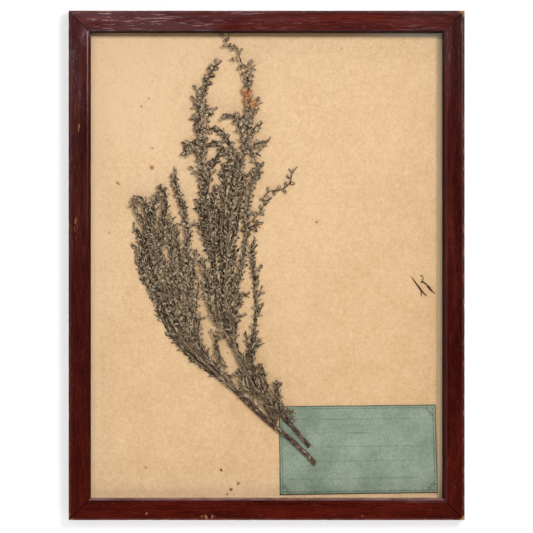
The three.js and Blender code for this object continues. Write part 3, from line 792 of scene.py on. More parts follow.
def bark_tube(shell, route, start_width, end_width, seed):
    """Adds one stem to a bmesh: bark faces take material 0 and the cut ends material 1."""
    rings = []
    last = len(route) - 1
    front = Vector((0, -1, 0))
    for i, centre in enumerate(route):
        along = (route[min(i + 1, last)] - route[max(i - 1, 0)]).normalized()
        across = along.cross(front).normalized()
        half = 0.5 * (start_width + (end_width - start_width) * i / last)
        knot = max(0.0, noise.noise(Vector((i * 0.3, seed * 5.3, 0.4))))
        ring = []
        for k in range(STEM_SIDES):
            turn = 2 * math.pi * k / STEM_SIDES
            on_bark = Vector((math.cos(turn) * 2.6, math.sin(turn) * 2.6 + seed * 9, i * 0.28))
            rib = noise.fractal(on_bark, 1.0, 2.0, 3)
            radius = half * min(1.06, 0.93 + 0.14 * rib + 0.2 * knot)
            ring.append(shell.verts.new(centre + across * (math.cos(turn) * radius)
                                        + front * (math.sin(turn) * radius)))
        rings.append(ring)
    for a, b in zip(rings, rings[1:]):
        for k in range(STEM_SIDES):
            m = (k + 1) % STEM_SIDES
            shell.faces.new((a[k], a[m], b[m], b[k])).smooth = True
    for ring, order in ((rings[0], 1), (rings[-1], -1)):
        cut = shell.faces.new(ring[::order])
        cut.material_index = 1


def stem_piece(name, tubes, node):
    shell = bmesh.new()
    for seed, (route, start_width, end_width) in enumerate(tubes):
        bark_tube(shell, route, start_width, end_width, seed + len(name))
    bmesh.ops.recalc_face_normals(shell, faces=shell.faces)
    mesh = bpy.data.meshes.new(name)
    shell.to_mesh(mesh)
    shell.free()
    return new_piece(name, mesh, [BARK, CUT], "stem_bark", node)


def make_stems():
    """Each stem or stalk is made of bits, given as (start width, end width, route in pixels)."""
    stems = {  # the thicker bit of each stem lies in front of the thinner one
        "long_stem": [(3.9, 3.2, (316, 465), (308, 456), (292, 441), (271, 423), (251, 404), (234, 388)),
                      (2.6, 2.3, (284, 436), (278.4, 431.6), (271.8, 426.6), (264.2, 420), (257.4, 414),
                       (250.8, 407.8), (243.8, 401), (236.5, 393.5), (229.5, 386.5))],
        "short_stem": [(3.3, 3.0, (310, 447), (300.5, 436), (291, 425), (282, 414), (272, 405), (264.5, 398)),
                       (1.6, 1.4, (290, 427), (282.5, 418.5), (275.5, 411.5), (268.5, 405))],
    }
    for name, bits in stems.items():
        tubes = []
        for start, end, *pixels in bits:
            lying = STEM_DEPTH if start > 3 else STEM_DEPTH - 0.8 * MM
            tubes.append((smooth_route(pixels, lying, STEM_STEP), start * MM, end * MM))
        stem_piece(name + "_bark", tubes, name)
    fragments = {
        "fragment_left": [(0.6, 1.6, (412, 277), (416, 282.7), (420.5, 288.8)),
                          (1.6, 0.7, (420, 288.2), (423.5, 292.4), (427, 296)),
                          (0.8, 0.6, (421.2, 289.5), (421.7, 293), (421.5, 296.3))],
        "fragment_right": [(0.9, 0.8, (420.5, 275.5), (422.8, 276.2), (423.4, 279.5), (422.6, 281.6)),
                           (1.3, 0.9, (421.4, 281.9), (423.5, 282.2), (426, 283.8), (429, 287)),
                           (1.9, 1.5, (428.2, 286), (430, 288.4), (432, 290.8)),
                           (1.1, 0.7, (431.5, 290.2), (433.8, 292.2), (436, 294))],
    }
    for name, bits in fragments.items():
        tubes = []
        for start, end, *pixels in bits:
            depth = SHEET_FRONT + FIT_GAP + max(start, end) * MM / 2
            tubes.append((smooth_route(pixels, depth, STALK_STEP), start * MM, end * MM))
        stem_piece(name + "_stalk", tubes, name)


# Leafy sprays: Geometry Nodes set leaves along the shoots' routes

LEAF_STATIONS = [(0.07, 0.45), (0.33, 0.88), (0.66, 1.0), (0.92, 0.72)]  # place along the leaf, fullness
# The rib's paleness also paints light: pale on the leaf's outer back, dark on its inner side
LEAF_SECTION = [  # outwards, sideways, paleness of the rib
    (1.0, 0.0, 1.0), (0.55, 0.8, 0.5), (-0.35, 0.9, 0.0), (-0.6, 0.0, 0.0), (-0.35, -0.9, 0.0),
    (0.55, -0.8, 0.5),
]


def leaf_form(name, width, thickness, curl, paleness=1.0):
    """A plump, closed leaf of unit length. It starts along Z and hooks to -X, with its ribbed back at +X."""

    def on_hook(t):
        return (math.cos(curl * t) - 1) / curl, math.sin(curl * t) / curl

    points = [(0, 0, 0)]
    ribs_and_painted_light = [0.3]
    shares = [0.0]
    for t, fullness in LEAF_STATIONS:
        x, z = on_hook(t)
        out_x, out_z = math.cos(curl * t), math.sin(curl * t)
        for outwards, sideways, rib in LEAF_SECTION:
            out = outwards * thickness * fullness
            points.append((x + out_x * out, sideways * 0.5 * width * fullness, z + out_z * out))
            ribs_and_painted_light.append(rib * paleness)
            shares.append(t)
    x, z = on_hook(1.0)
    points.append((x, 0, z))
    ribs_and_painted_light.append(0.7)
    shares.append(1.0)
    ring = len(LEAF_SECTION)
    last = 1 + ring * (len(LEAF_STATIONS) - 1)
    faces = []
    for k in range(ring):
        m = (k + 1) % ring
        faces.append((0, 1 + m, 1 + k))
        for a in range(1, last, ring):
            faces.append((a + k, a + m, a + ring + m, a + ring + k))
        faces.append((last + k, last + m, len(points) - 1))
    mesh = mesh_from(name, points, faces)
    face_out(mesh)
    for attribute, values in (("leaf_rib", ribs_and_painted_light), ("leaf_share", shares)):
        mesh.attributes.new(attribute, "FLOAT", "POINT").data.foreach_set("value", values)
    return bpy.data.objects.new(name, mesh)


LEAF_FORMS = [
    leaf_form("plain_leaf", 0.46, 0.24, 0.4),
    leaf_form("hooked_leaf", 0.44, 0.24, 1.0),
    leaf_form("rolled_leaf", 0.40, 0.26, 0.7),
]
# The bud's rib carries a little less of the painted highlight
BUD_LEAF = leaf_form("bud_leaf", 0.66, 0.30, 1.5, 0.82)
WITHERED_LEAF = leaf_form("withered_leaf", 0.14, 0.09, 1.1)
LEAVES_IN_TUFT = 3
LEAVES_IN_BUD = 6
BUD_EVERY = 4
GOLDEN_ANGLE = math.radians(137.5)
LEAFY_HALF_WIDTH = 2 * MM  # wider shoots carry tufts of leaves, narrower ones are twigs
BARE_HALF_WIDTH = 1 * MM  # the narrowest are bare stems
SHOOT_SIZES = {
    "Tuft Pitch": 1.0 * MM, "Side Spread": math.radians(45), "Front Spread": math.radians(30),
    "Stem Radius": 0.4 * MM, "Tip Taper": 9 * MM, "Layer Middle": 10 * MM, "Pressing": 0.5,
    "Leaf Share": 0.78, "Bud Size": 4.3 * MM, "Twig Radius": 0.62 * MM, "Strand Length": 6.6 * MM,
    "Stem Raise": 0.9 * MM,
}


def leafy_shoots_tree():
    """Along each route: a stem, a flat heart dark as painted shade, tufts of leaves in four ranks, dry
    strands and buds.
    """
    tree = bpy.data.node_groups.new("leafy_shoots", "GeometryNodeTree")
    face = tree.interface
    face.new_socket("Routes", in_out="INPUT", socket_type="NodeSocketGeometry")
    for name, value in SHOOT_SIZES.items():
        face.new_socket(name, in_out="INPUT", socket_type="NodeSocketFloat").default_value = value
    face.new_socket("Seed", in_out="INPUT", socket_type="NodeSocketInt")
    face.new_socket("Leaf Finish", in_out="INPUT", socket_type="NodeSocketMaterial")
    face.new_socket("Bark Finish", in_out="INPUT", socket_type="NodeSocketMaterial")
    face.new_socket("Spray", in_out="OUTPUT", socket_type="NodeSocketGeometry")
    given = {socket.name: Wire(tree, socket) for socket in add(tree, "NodeGroupInput").outputs}

    def node(kind, inputs=None, output=0, **settings):
        return wire(tree, kind, inputs, output, **settings)

    def store(geometry, name, value, domain="POINT"):
        inputs = {"Geometry": geometry, "Name": name, "Value": value}
        return node("GeometryNodeStoreNamedAttribute", inputs, domain=domain)

    def chance(low, high, step):
        inputs = {2: low, 3: high, "Seed": given["Seed"] + step}
        return node("FunctionNodeRandomValue", inputs, 1, data_type="FLOAT")

    def xyz(x, y, z):
        return node("ShaderNodeCombineXYZ", {0: x, 1: y, 2: z})

    def form(leaf):
        return node("GeometryNodeObjectInfo", {"Object": leaf, "As Instance": True}, "Geometry")

    def joined(parts):
        made = add(tree, "GeometryNodeJoinGeometry")
        for part in parts:
            tree.links.new(part.socket, made.inputs[0])
        return Wire(tree, made.outputs[0])

    def pointed(along, facing):
        settings = {"primary_axis": "Z", "secondary_axis": "X"}
        return node("FunctionNodeAxesToRotation", {0: along, 1: facing}, **settings)

    def set_out(points, chosen, shape, turn, size):
        inputs = {"Points": points, "Selection": chosen, "Instance": shape, "Rotation": turn,
                  "Scale": xyz(size, size, size)}
        return node("GeometryNodeInstanceOnPoints", inputs)

    def finished(geometry, finish):
        return node("GeometryNodeSetMaterial", {"Geometry": geometry, "Material": given[finish]})

    index = node("GeometryNodeInputIndex")

    def cluster(forms, count, rise, tilt, leaf_share, step):
        """Leaves in a spiral up a short line, each with its own form, size and tone."""
        inputs = {"Count": count, "Start Location": (0, 0, 0.05), "Offset": (0, 0, rise)}
        places = node("GeometryNodeMeshLine", inputs, mode="OFFSET")
        lean = index * (-rise * 1.4) + tilt + chance(-0.2, 0.2, step)
        turned = node("FunctionNodeEulerToRotation", {0: xyz(0.0, lean, index * GOLDEN_ANGLE)})
        inputs = {4: 0, 5: len(LEAF_FORMS) - 1, "Seed": given["Seed"] + (step + 1)}
        pick = node("FunctionNodeRandomValue", inputs, 2, data_type="INT")
        leaf_size = chance(0.85, 1.15, step + 2) * leaf_share
        inputs = {"Points": places, "Instance": forms, "Pick Instance": True, "Instance Index": pick,
                  "Rotation": turned, "Scale": xyz(leaf_size, leaf_size, leaf_size)}
        leaves = node("GeometryNodeInstanceOnPoints", inputs)
        return store(leaves, "leaf_tone", chance(0.0, 1.0, step + 3), "INSTANCE")

    tuft_forms = joined([form(leaf) for leaf in reversed(LEAF_FORMS)])
    tuft = cluster(tuft_forms, LEAVES_IN_TUFT, 0.15, 0.5, given["Leaf Share"], 11)
    bud = cluster(form(BUD_LEAF), LEAVES_IN_BUD, 0.07, 0.85, 0.7, 31)

    # The shoots' lines, with what each point knows of its shoot
    smooth = node("GeometryNodeCurveSplineType", {"Curve": given["Routes"]}, spline_type="CATMULL_ROM")
    inputs = {"Curve": smooth, "Length": given["Tuft Pitch"]}
    stepped = node("GeometryNodeResampleCurve", inputs, mode="LENGTH")
    walked = node("GeometryNodeSplineParameter", output="Length")
    to_tip = node("GeometryNodeSplineLength", output="Length") - walked
    stepped = store(stepped, "to_tip", to_tip)
    stepped = store(stepped, "half_width", node("GeometryNodeInputRadius"))
    to_tip = node("GeometryNodeInputNamedAttribute", {"Name": "to_tip"})
    half_width = node("GeometryNodeInputNamedAttribute", {"Name": "half_width"})
    leafy = half_width > LEAFY_HALF_WIDTH
    bare = half_width < BARE_HALF_WIDTH
    not_bare = half_width > BARE_HALF_WIDTH
    taper = smaller(to_tip / given["Tip Taper"] + 0.45, 1.0)
    height = split(node("GeometryNodeInputPosition"))[2]
    near_stems = ramp(height, up_sheet(300), up_sheet(368), 0.18, 1.0)

    # The stem in each shoot, thicker towards its base, in front of the heart
    ring = node("GeometryNodeCurvePrimitiveCircle", {"Resolution": 7, "Radius": 1.0})
    in_leaves = smaller(to_tip * (1 / (120 * MM)) + 0.6, 1.9) * given["Stem Radius"]
    twig = smaller(to_tip * (1 / (30 * MM)) + 0.55, 1.0) * given["Twig Radius"]
    twig = twig + (half_width * 1.25 - given["Twig Radius"]) * bare
    radius = larger(in_leaves * leafy, twig * (1.0 - leafy)) * chance(0.85, 1.15, 22)
    inputs = {"Geometry": stepped, "Offset": xyz(0.0, leafy * given["Stem Raise"] * -1.0, 0.0)}
    raised = node("GeometryNodeSetPosition", inputs)
    inputs = {"Curve": raised, "Profile Curve": ring, "Scale": radius, "Fill Caps": True}
    stem = node("GeometryNodeSetShadeSmooth", {"Geometry": node("GeometryNodeCurveToMesh", inputs)})
    stem = finished(stem, "Bark Finish")

    # The withered heart of each shoot, dark as painted shade between the leaves, pressed flat and narrower
    # near the stems
    spine = node("GeometryNodeSetCurveNormal", {"Curve": stepped, "Normal": (0, -1, 0)}, mode="FREE")
    oval = node("GeometryNodeTransform", {"Geometry": ring, "Scale": (0.16, 1.0, 1.0)})
    ragged = (half_width - 1.5 * MM) * taper * (1.0 - near_stems * 0.3) * chance(0.7, 1.3, 21)
    inputs = {"Curve": spine, "Profile Curve": oval, "Scale": larger(ragged, 0.1 * MM), "Fill Caps": True}
    withered_shade_heart = node("GeometryNodeCurveToMesh", inputs)
    # Stored values that give it the dark colour of painted shade
    for name, value in (("leaf_share", 0.1), ("leaf_rib", 0.14), ("leaf_tone", chance(0.0, 1.0, 23))):
        withered_shade_heart = store(withered_shade_heart, name, value)
    withered_shade_heart = finished(withered_shade_heart, "Leaf Finish")

    # Tufts along the shoots, by turns to the left and the right, and two to the sides for two to the front
    on_points = add(tree, "GeometryNodeCurveToPoints", {"Curve": stepped}, mode="EVALUATED").outputs
    spots = Wire(tree, on_points["Points"])
    tangent = Wire(tree, on_points["Tangent"])
    sideways = tangent.calc("CROSS_PRODUCT", (0.0, -1.0, 0.0))
    side_sign = index.calc("MODULO", 2) * 2 - 1
    to_front = (index / 2).calc("FLOOR").calc("MODULO", 2)
    lift = to_front * math.radians(52) + math.radians(6) + chance(-0.35, 0.35, 1)
    out = sideways * (side_sign * lift.calc("COSINE")) + xyz(0.0, lift.calc("SINE") * -1, 0.0)
    spread = to_front * (given["Front Spread"] - given["Side Spread"]) + given["Side Spread"]
    spread = spread + chance(-0.3, 0.3, 2)
    pointing = tangent * spread.calc("COSINE") + out * spread.calc("SINE")
    facing = xyz(chance(-1, 1, 3), chance(-1, 1, 4), chance(-1, 1, 5))
    size = half_width / given["Side Spread"].calc("SINE")
    size = size * (to_front * -0.2 + 1.05) * taper * chance(0.8, 1.2, 6)
    withered = chance(0, 1, 7) < near_stems
    curled = chance(0, 1, 10) < ramp(height, up_sheet(215), up_sheet(150), 0.12, 0.75)
    curled = curled * (1.0 - withered)
    in_rank = chance(0, 1, 9) < to_front * -0.4 + 1.0
    kept = leafy * (1.0 - larger(withered, curled)) * in_rank
    tufts = set_out(spots, kept, tuft, pointed(pointing, facing), size)

    # Dry strands along the shoots: a few higher up, and in place of the leaves near the stems
    strand = form(WITHERED_LEAF)
    dry = ramp(height, up_sheet(130), up_sheet(230), 0.0, 0.4)
    strands = []
    for step in (50, 60, 70):
        aside = sideways * (half_width * chance(-0.6, 0.6, step))
        beside = node("GeometryNodeSetPosition", {"Geometry": spots, "Offset": aside})
        slant = sideways * chance(-0.3, 0.3, step + 1) + xyz(0.0, chance(-0.6, 0.4, step + 2), 0.0)
        strand_size = given["Strand Length"] * chance(0.6, 1.25, step + 3)
        wide = chance(0, 5 * MM, step + 4) < half_width
        stringy = leafy * (chance(0, 1, step + 6) < dry)
        stringy = wide * (not_bare * larger(withered, stringy))
        laid = set_out(beside, stringy, strand, pointed(tangent + slant, facing), strand_size)
        strands.append(store(laid, "leaf_tone", chance(0.0, 0.9, step + 5), "INSTANCE"))

    # Round buds: along the upper shoots, on thin twigs by turns to either side, and on every tip
    bud_step = index / BUD_EVERY
    every = bud_step.calc("FRACT") < 0.5 / BUD_EVERY
    on_twig = every * (1.0 - larger(leafy, withered))
    on_shoot = leafy * (curled * (chance(0, 1, 43) < 0.85))
    at_tip = to_tip < 0.3 * MM
    budding = larger(larger(on_twig, on_shoot), at_tip) * not_bare
    bud_side = (bud_step.calc("FLOOR").calc("MODULO", 2) * 2.0 - 1.0) * (1.0 - at_tip)
    aside = tangent * 0.45 + sideways * bud_side + xyz(0.0, chance(-0.7, 0.0, 41), 0.0)
    bud_size = given["Bud Size"] * chance(0.8, 1.2, 42)
    buds = set_out(spots, budding, bud, pointed(aside, facing), bud_size)

    # All leaves, pressed towards the middle of their layer
    leaves = store(joined([tufts, buds, *strands]), "tuft_tone", chance(0.0, 1.0, 8), "INSTANCE")
    leaves = node("GeometryNodeRealizeInstances", {"Geometry": leaves})
    x, y, z = split(node("GeometryNodeInputPosition"))
    pressed = (y + given["Layer Middle"]) * given["Pressing"] - given["Layer Middle"]
    leaves = node("GeometryNodeSetPosition", {"Geometry": leaves, "Position": xyz(x, pressed, z)})
    leaves = finished(leaves, "Leaf Finish")
    add(tree, "NodeGroupOutput", {0: joined([stem, withered_shade_heart, leaves])})
    return tree


LEAFY_SHOOTS = leafy_shoots_tree()


def set_inputs(modifier, tree, values):
    """Sets a Geometry Nodes modifier's inputs by their sockets' identifiers."""
    for item in tree.interface.items_tree:
        if item.item_type == "SOCKET" and item.in_out == "INPUT" and item.name in values:
            modifier[item.identifier] = values[item.name]


def plain_mesh(grown, name):
    """The evaluated result of an object's modifiers, as a mesh of its own."""
    ready = grown.evaluated_get(bpy.context.evaluated_depsgraph_get())
    mesh = bpy.data.meshes.new_from_object(ready)
    mesh.name = name
    bpy.data.objects.remove(grown)
    return mesh


def spray(name, layer, shoots, seed, bark=TWIG_BARK):
    """A spray of leafy shoots in one layer, each (width, route in pixels from base to tip)."""
    middle = layer + SHOOT_THICKNESS / 2
    routes = bpy.data.curves.new(name + "_routes", "CURVE")
    routes.dimensions = "3D"
    for width, *pixels in shoots:
        line = routes.splines.new("POLY")
        line.points.add(len(pixels) - 1)
        for point, pixel in zip(line.points, pixels):
            point.co = (*on_sheet(pixel, middle), 1)
            point.radius = width / 2
    grown = bpy.data.objects.new(name + "_routes", routes)
    bpy.context.scene.collection.objects.link(grown)
    modifier = grown.modifiers.new("leaves", "NODES")
    modifier.node_group = LEAFY_SHOOTS
    set_inputs(modifier, LEAFY_SHOOTS, {"Seed": seed, "Layer Middle": middle, "Leaf Finish": LEAF,
                                        "Bark Finish": bark})
    mesh = plain_mesh(grown, name)
    return new_piece(name + "_leaves", mesh, [], "dry_leaf", name)


def make_left_bush():
    fork = (233.4, 387.4)
    spray("left_spray_outer", BACK_LAYER, [
        (LEAFY, fork, (219, 378), (205, 368), (190, 356), (178, 343), (169, 331), (162, 317), (156, 303),
         (150, 291), (145, 279), (141, 267), (138, 260.5)),
        (LEAFY, (176, 339), (173, 325), (169, 313), (165, 302)),
        (LEAFY, (158, 308), (152, 285), (147, 268), (141, 256), (135.5, 249.5)),
        (LEAFY, (163, 320), (160, 300), (154, 280), (148, 260), (142, 241), (135, 230)),
    ], 1)
    spray("left_spray_middle", FRONT_LAYER, [
        (LEAFY, fork, (218, 370), (206, 357), (196, 345), (187, 334), (179, 322), (171, 309), (163, 295),
         (158.5, 280), (157, 266), (154, 250), (151, 234), (149, 220), (147, 208), (142, 199.5),
         (137, 199), (134, 204), (137, 209)),
        (SLIM, (154, 250), (149, 236), (144, 226), (140, 217), (136, 212)),
        (LEAFY, (157, 266), (155, 245), (153.5, 225), (153, 208), (156.5, 196)),
        (LEAFY, (158, 276), (160, 250), (162.5, 230), (164, 215), (165.5, 203), (161.5, 187.5)),
        (SCRAPS, (254, 404.7), (245.9, 396.6), (237.9, 389.3)),
        (STOUT_STEM, (236, 391), (229, 385), (220, 376.8), (210.5, 368), (202.5, 361), (194.7, 353),
         (186, 344), (178, 333), (170.5, 319), (164, 304)),
        (BARE, (239, 391.5), (229.5, 381), (221.6, 373), (213.5, 365.5), (205.8, 358), (193, 345),
         (184, 332)),
        (BARE, (160, 285), (157.5, 265), (155, 245), (152.5, 225)),
        (BARE, (188, 333), (178, 316), (170, 300), (165, 283), (162, 262), (162.5, 240)),
    ], 2)
    spray("left_spray_inner", MIDDLE_LAYER, [
        (LEAFY, fork, (224, 377), (212, 364), (203, 352), (198, 338), (195, 322), (193, 305), (191, 290),
         (189, 275), (187.5, 262), (187, 249), (188.5, 237), (187, 228), (184.5, 218), (184, 208),
         (180, 199), (177, 190), (174.5, 183), (175, 174)),
        (LEAFY, (203, 352), (188, 334), (178, 318), (173, 303), (170, 287), (168, 273), (163.5, 261.5)),
        (LEAFY, (196, 330), (184, 310), (179, 290), (175.5, 270), (171.5, 250), (170, 235), (170.3, 221)),
        (LEAFY, (200, 345), (190, 329), (186, 313), (184, 300)),
        (SLIM, (193, 305), (187, 288), (182, 270), (178.5, 250), (176, 238), (176.5, 227)),
        (SLIM, (192, 296), (193, 280), (193.5, 265), (195, 253)),
        (SPARSE, (194, 312), (197, 298), (198.5, 287), (197, 276.5)),
        (SPARSE, (197, 338), (199, 326), (200, 315.5)),
        (SPARSE, (213, 365), (206, 354), (202.5, 347)),
        (SPARSE, (222, 374.5), (230, 375.5), (238, 373)),
        (BARE, (237, 391), (228.5, 381.6), (221, 374), (211.7, 363.5), (203, 354), (195, 345.7), (186, 336),
         (177, 323), (168, 307), (160, 290)),
        (BARE, (217, 372.9), (210.4, 367.5), (203.7, 358), (195, 352.8), (187, 347), (178, 338),
         (170, 326)),
        (BARE, (206, 357), (198, 343), (192, 330), (187, 314), (183, 298), (180, 282)),
    ], 3)


def make_tall_bush():
    spray("tall_trunk", MIDDLE_LAYER, [
        (LEAFY, (263.8, 397.2), (255, 386), (249, 375), (244, 365), (239, 355), (234.5, 345.5), (231, 338)),
    ], 4)
    spray("tall_spray_left", MIDDLE_LAYER, [
        (LEAFY, (230.5, 337), (226, 325), (220, 308), (216, 290), (214, 270), (212.5, 250), (210, 232),
         (208, 215), (206, 200), (205, 185), (203, 170), (201, 157), (203, 149)),
        (SLIM, (203, 150), (203.5, 138), (201, 128), (199, 117), (199, 106), (203, 95), (205.5, 86),
         (208, 78), (212, 70), (219, 62.5)),
        (SPARSE, (199.5, 112), (195, 106), (193, 100.5)),
        (SLIM, (200, 100), (205, 106), (208, 113), (206, 119)),
        (SPARSE, (205, 108), (210, 112), (215, 109)),
        (SPARSE, (201.5, 102), (198, 95), (196.5, 89.5)),
        (SLIM, (203, 140), (199, 129), (194.5, 117.5)),
        (SLIM, (203, 152), (197, 145), (191, 142.5), (185, 146), (186, 153.5)),
        (SLIM, (202, 163), (197, 155), (191.5, 150)),
        (SPARSE, (205, 182), (199, 174.5), (193, 169)),
        (LEAFY, (206, 192), (208, 178), (211, 168), (216, 160), (219.5, 152)),
        (LEAFY, (212, 248), (215, 230), (215, 212), (213.5, 200), (215, 188)),
        (LEAFY, (213, 258), (206, 241), (201.5, 230), (197, 225)),
        (LEAFY, (210.5, 236), (204, 220), (198.5, 203.5)),
        (SLIM, (207.5, 212), (203.5, 201), (201, 189)),
    ], 5)
    spray("tall_spray_main", FRONT_LAYER, [
        (LEAFY, (237, 350), (233, 338), (229, 318), (226, 300), (226, 280), (227, 260), (228, 240),
         (230, 222), (233, 205), (236, 188), (239, 172), (241.5, 160), (244.5, 150), (246.5, 140),
         (247.5, 128), (249, 115), (249.5, 103), (247.5, 93), (247.5, 84), (249, 74)),
        (SLIM, (233.5, 341), (236, 329), (235, 317), (234, 306)),
        (SPARSE, (231, 322), (235, 317.5), (242, 315)),
        (SPARSE, (248, 80), (250, 71.5), (247, 67), (242, 63), (239.5, 57), (238.5, 51), (234.5, 46.5),
         (228.5, 46), (225.5, 41), (225, 35.5)),
        (SPARSE, (239.5, 60), (237, 61), (234.5, 59.5)),
        (SPARSE, (249, 78), (251, 70), (251.5, 62.5)),
        (SPARSE, (247, 84), (243, 77), (241, 69.5)),
        (SLIM, (247, 128), (241, 120), (233, 116), (224.5, 117.5)),
        (SLIM, (246, 140), (241, 131), (237.5, 121)),
        (SLIM, (247, 140), (252, 132), (258.5, 124)),
        (SLIM, (249, 122), (253, 112), (257, 101)),
        (SLIM, (245, 150), (251, 148.5), (257, 144), (264.5, 141.5)),
        (SPARSE, (250, 149), (256, 154), (259.5, 150.5)),
        (BARE, (250, 372.9), (246, 364.8), (240.5, 356.8), (236.5, 350), (232.5, 342), (229, 331),
         (226.5, 318), (225, 302), (224.5, 285), (225, 268)),
        (STOUT_STEM, (262, 396.5), (255, 388), (249, 378), (243.2, 367), (238.5, 358), (235.2, 350),
         (229.8, 340), (223.8, 331), (220, 318), (217.5, 304), (216.5, 288)),
        (BARE, (235, 350), (231, 331), (230, 312), (231, 294), (234, 277)),
        (BARE, (226, 283), (227, 262), (229, 240), (232, 218), (236, 196), (240, 174), (244, 155)),
        (BARE, (213, 262), (212, 242), (210, 222), (208, 203)),
        (BARE, (222, 255), (220, 232), (221, 212), (223, 196)),
        (BARE, (232, 226), (238, 206), (241, 190)),
    ], 6)
    spray("tall_spray_centre", BACK_LAYER, [
        (LEAFY, (237, 350), (230, 331), (226, 312), (223, 290), (222, 265), (221, 240), (222, 220),
         (224, 200), (224, 187), (223, 176), (226, 166), (229.5, 160)),
        (LEAFY, (222, 245), (230, 225), (232, 205), (232.5, 188), (232.5, 175), (230, 161), (226, 152.5),
         (220, 146), (213, 143), (206.5, 147.5)),
        (LEAFY, (222.5, 258), (233, 238), (237.5, 218), (240, 200), (241.5, 187), (244, 178), (249, 175)),
        (LEAFY, (224, 296), (230, 279), (232.5, 262), (233, 245)),
        (LEAFY, (240, 198), (239, 176), (236, 160), (232, 149), (227, 140), (222, 132.5), (215, 129.5),
         (207.5, 129)),
    ], 7)
    spray("tall_spray_right", MIDDLE_LAYER, [
        (SLIM, (230, 311), (236.5, 287), (240.5, 272), (243, 258), (245, 244), (246, 230), (246.5, 214),
         (248.5, 200), (250.5, 188), (254, 178), (257.5, 172), (261, 166.5)),
        (SLIM, (245.5, 238), (251, 229), (258.5, 224.5)),
        (SPARSE, (255, 177), (257, 165), (253, 156)),
        (SLIM, (232.5, 302), (237.5, 296), (244, 294)),
        (SLIM, (231.5, 306), (235, 308), (238.5, 304), (240.5, 299.5)),
    ], 8)


def make_small_branches():
    spray("right_twig", BACK_LAYER, [
        (SPARSE, (244, 232), (247, 226), (253, 219.5), (259, 213), (264, 205), (264, 197), (270, 191),
         (280, 190), (287, 186), (290.5, 181), (292, 173.5)),
        (SPARSE, (259, 213), (254, 212), (250, 210.5)),
        (SPARSE, (263.5, 206), (267, 203), (269.5, 199.5)),
    ], 9)
    spray("slender_spray", BACK_LAYER, [
        (SLIM, (246, 367), (248.5, 356), (251, 347), (254, 336), (255, 325), (256, 312), (256, 300),
         (255, 288), (254.5, 276), (252.5, 262), (252, 252), (253.5, 243.5)),
        (SPARSE, (255.5, 298), (259, 294), (261.5, 288)),
        (SPARSE, (255.5, 318), (259, 312.5), (261.5, 307)),
        (SPARSE, (254, 276), (256, 272), (258.5, 269)),
        (SPARSE, (250.5, 350), (248, 344), (246, 338)),
    ], 10)
    spray("edge_spray", FRONT_LAYER, [
        (LEAFY, (224.5, 331), (218.5, 324), (213, 315), (210.5, 304), (208, 290), (205.5, 275), (203, 261)),
    ], 11)
    spray("hanging_twig", FRONT_LAYER, [
        (SLIM, (226, 337), (219, 337), (216, 343.5), (218.5, 353), (221, 367)),
        (SPARSE, (218, 339), (214.5, 336), (212.5, 332.5)),
    ], 12)
    twig_layer = STEM_DEPTH - SHOOT_THICKNESS / 2
    spray("side_twig_upper", twig_layer, [
        (STOUT_STEM, (278, 421), (273.5, 413.5), (268.5, 405.5)),
        (SCRAPS, (272, 411), (268, 404.5)),
    ], 14, BARK)
    spray("side_twig_lower", twig_layer, [
        (STOUT_STEM, (276.5, 424), (269.5, 414.5), (263.5, 405.5)),
        (SCRAPS, (267, 411), (262.5, 404.5)),
    ], 15, BARK)
    spray("base_spray", FRONT_LAYER, [
        (LEAFY, (263, 397), (266, 388), (264, 378), (261.5, 367.5)),
        (LEAFY, (263, 397), (258, 386), (255, 374), (252, 362), (253.5, 351), (258, 342)),
        (LEAFY, (262, 397), (251, 391), (244, 382), (241, 371)),
        (SPARSE, (263, 398), (271, 399), (278, 398.5), (279.4, 395), (277.5, 389), (276.5, 384)),
        (SPARSE, (275, 398), (277, 393), (278.5, 389), (280.5, 385.5)),
        (SLIM, (270, 399), (278, 403.5), (284, 410), (290, 411)),
        (BARE, (278, 409), (270, 402.3), (264, 398.3), (258.6, 392.3), (253.3, 385.6), (249.3, 378.2),
         (248, 371)),
        (BARE, (268, 393), (260.6, 383), (255.3, 376), (250, 370), (247.2, 362), (248.6, 353.4),
         (252.6, 345.4), (255.3, 336.7)),
        (BARE, (273, 396), (268, 385.6), (263.3, 376.2), (259.3, 371.5), (255.3, 367.5)),
        (BARE, (266, 401), (258, 396), (250, 391), (244, 386), (240, 379)),
        (SCRAPS, (286, 418), (281, 412.5), (275.4, 407), (268, 400), (260, 393)),
        (SCRAPS, (287, 413), (282, 405), (278.5, 398), (273, 393)),
        (SCRAPS, (278, 412), (271, 404), (264, 396), (258, 386)),
        (SPARSE, (287, 413), (290.5, 416), (293.5, 420)),
    ], 13)


def dress_hardware():
    dress_node("glass", GLASS)
    dress_node("board", CARD)
    dress_node("hanger", BRASS)
    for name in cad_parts:
        if name.startswith(("brad_", "hanger_nail_")):
            dress_node(name, STEEL)


# Stage, light and camera

def stage_plane(name, corners, colour, glow, see_through_back):
    """A plain matt surface. One with a see-through back isn't there for lamps, or seen from behind."""
    mesh = mesh_from(name, corners, [(0, 1, 2, 3)], smooth=False)
    material, shader, where = new_material(name, Base_Color=(*colour, 1), Roughness=0.95,
                                           Specular_IOR_Level=0.1, Emission_Color=(1, 1, 1, 1),
                                           Emission_Strength=glow)
    if see_through_back:
        tree = where.tree
        back = wire(tree, "ShaderNodeNewGeometry", output="Backfacing")
        shadow = wire(tree, "ShaderNodeLightPath", output="Is Shadow Ray")
        clear = wire(tree, "ShaderNodeBsdfTransparent")
        inputs = {0: larger(back, shadow), 1: Wire(tree, shader.outputs[0]), 2: clear}
        wall = wire(tree, "ShaderNodeMixShader", inputs)
        tree.links.new(wall.socket, tree.nodes["Material Output"].inputs["Surface"])
    mesh.materials.append(material)
    plane = bpy.data.objects.new(name, mesh)
    bpy.context.scene.collection.objects.link(plane)


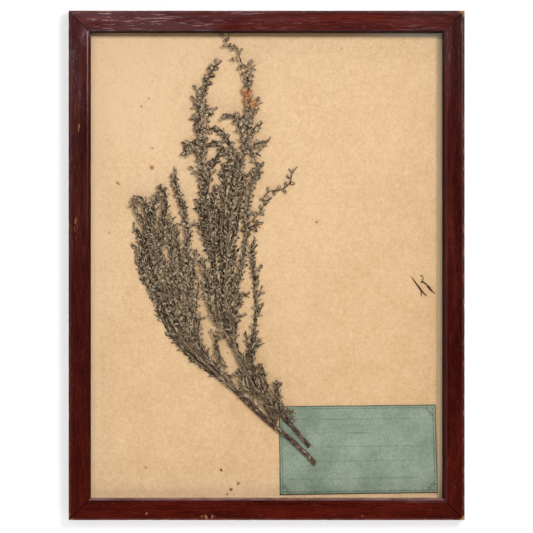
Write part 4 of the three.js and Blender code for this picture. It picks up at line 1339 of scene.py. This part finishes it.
def make_stage():
    reach = 3.5
    back = 1 * MM
    low, high = -1.4, 3
    wall = [(-reach, back, low), (reach, back, low), (reach, back, high), (-reach, back, high)]
    floor = [(-reach, -reach, low), (reach, -reach, low), (reach, reach, low), (-reach, reach, low)]
    stage_plane("wall", wall, colour=(0.54, 0.54, 0.54), glow=0.57, see_through_back=True)
    stage_plane("floor", floor, colour=(0.86, 0.86, 0.85), glow=0.12, see_through_back=False)


def lamp(name, place, target, width, power):
    light = bpy.data.lights.new(name, "AREA")
    light.shape = "DISK"
    light.size = width
    light.energy = power
    holder = bpy.data.objects.new(name, light)
    holder.location = place
    holder.rotation_euler = (Vector(target) - Vector(place)).to_track_quat("-Z", "Y").to_euler()
    bpy.context.scene.collection.objects.link(holder)


def make_light():
    middle = (0, 0, -FRAME_CENTRE_DROP)
    lamp("key", (0.72, -2.2, 0.42), middle, width=0.75, power=34)
    lamp("fill_left", (-0.75, -2.3, 0.1), middle, width=0.9, power=8)
    lamp("back", (0.6, 2.2, 1.2), middle, width=1.4, power=40)
    world = bpy.data.worlds.new("studio")
    bpy.context.scene.world = world
    world.use_nodes = True
    tree = world.node_tree
    x, y, z = split(wire(tree, "ShaderNodeTexCoord", output="Generated"))
    sides = ramp(y, -0.9, -0.3, 0.02, 0.22) * ramp(x, -0.5, 0.1, 0.35, 1.0)
    overhead = ramp(z, 0.55, 0.9, 0.0, 0.9)
    seen = wire(tree, "ShaderNodeLightPath", output="Is Camera Ray") * 0.95
    strength = larger(larger(sides, overhead), seen)
    background = tree.nodes["Background"]
    background.inputs["Color"].default_value = (1, 1, 1, 1)
    tree.links.new(strength.socket, background.inputs["Strength"])


def make_camera():
    lens = 400.0
    camera = bpy.data.cameras.new("photo_camera")
    camera.lens = lens
    camera.sensor_width = 36.0
    camera.dof.use_dof = False
    distance = PHOTO_SIDE * PIXEL * lens / camera.sensor_width
    holder = bpy.data.objects.new("photo_camera", camera)
    holder.location = on_sheet((PHOTO_SIDE / 2, PHOTO_SIDE / 2), FRAME_DEPTH + distance)
    holder.rotation_euler = (math.pi / 2, 0, 0)
    camera.clip_end = 20
    bpy.context.scene.collection.objects.link(holder)
    bpy.context.scene.camera = holder


make_frame()
make_papers()
make_stems()
make_left_bush()
make_tall_bush()
make_small_branches()
dress_hardware()
make_stage()
make_light()
make_camera()
bpy.context.scene.view_settings.view_transform = "Standard"
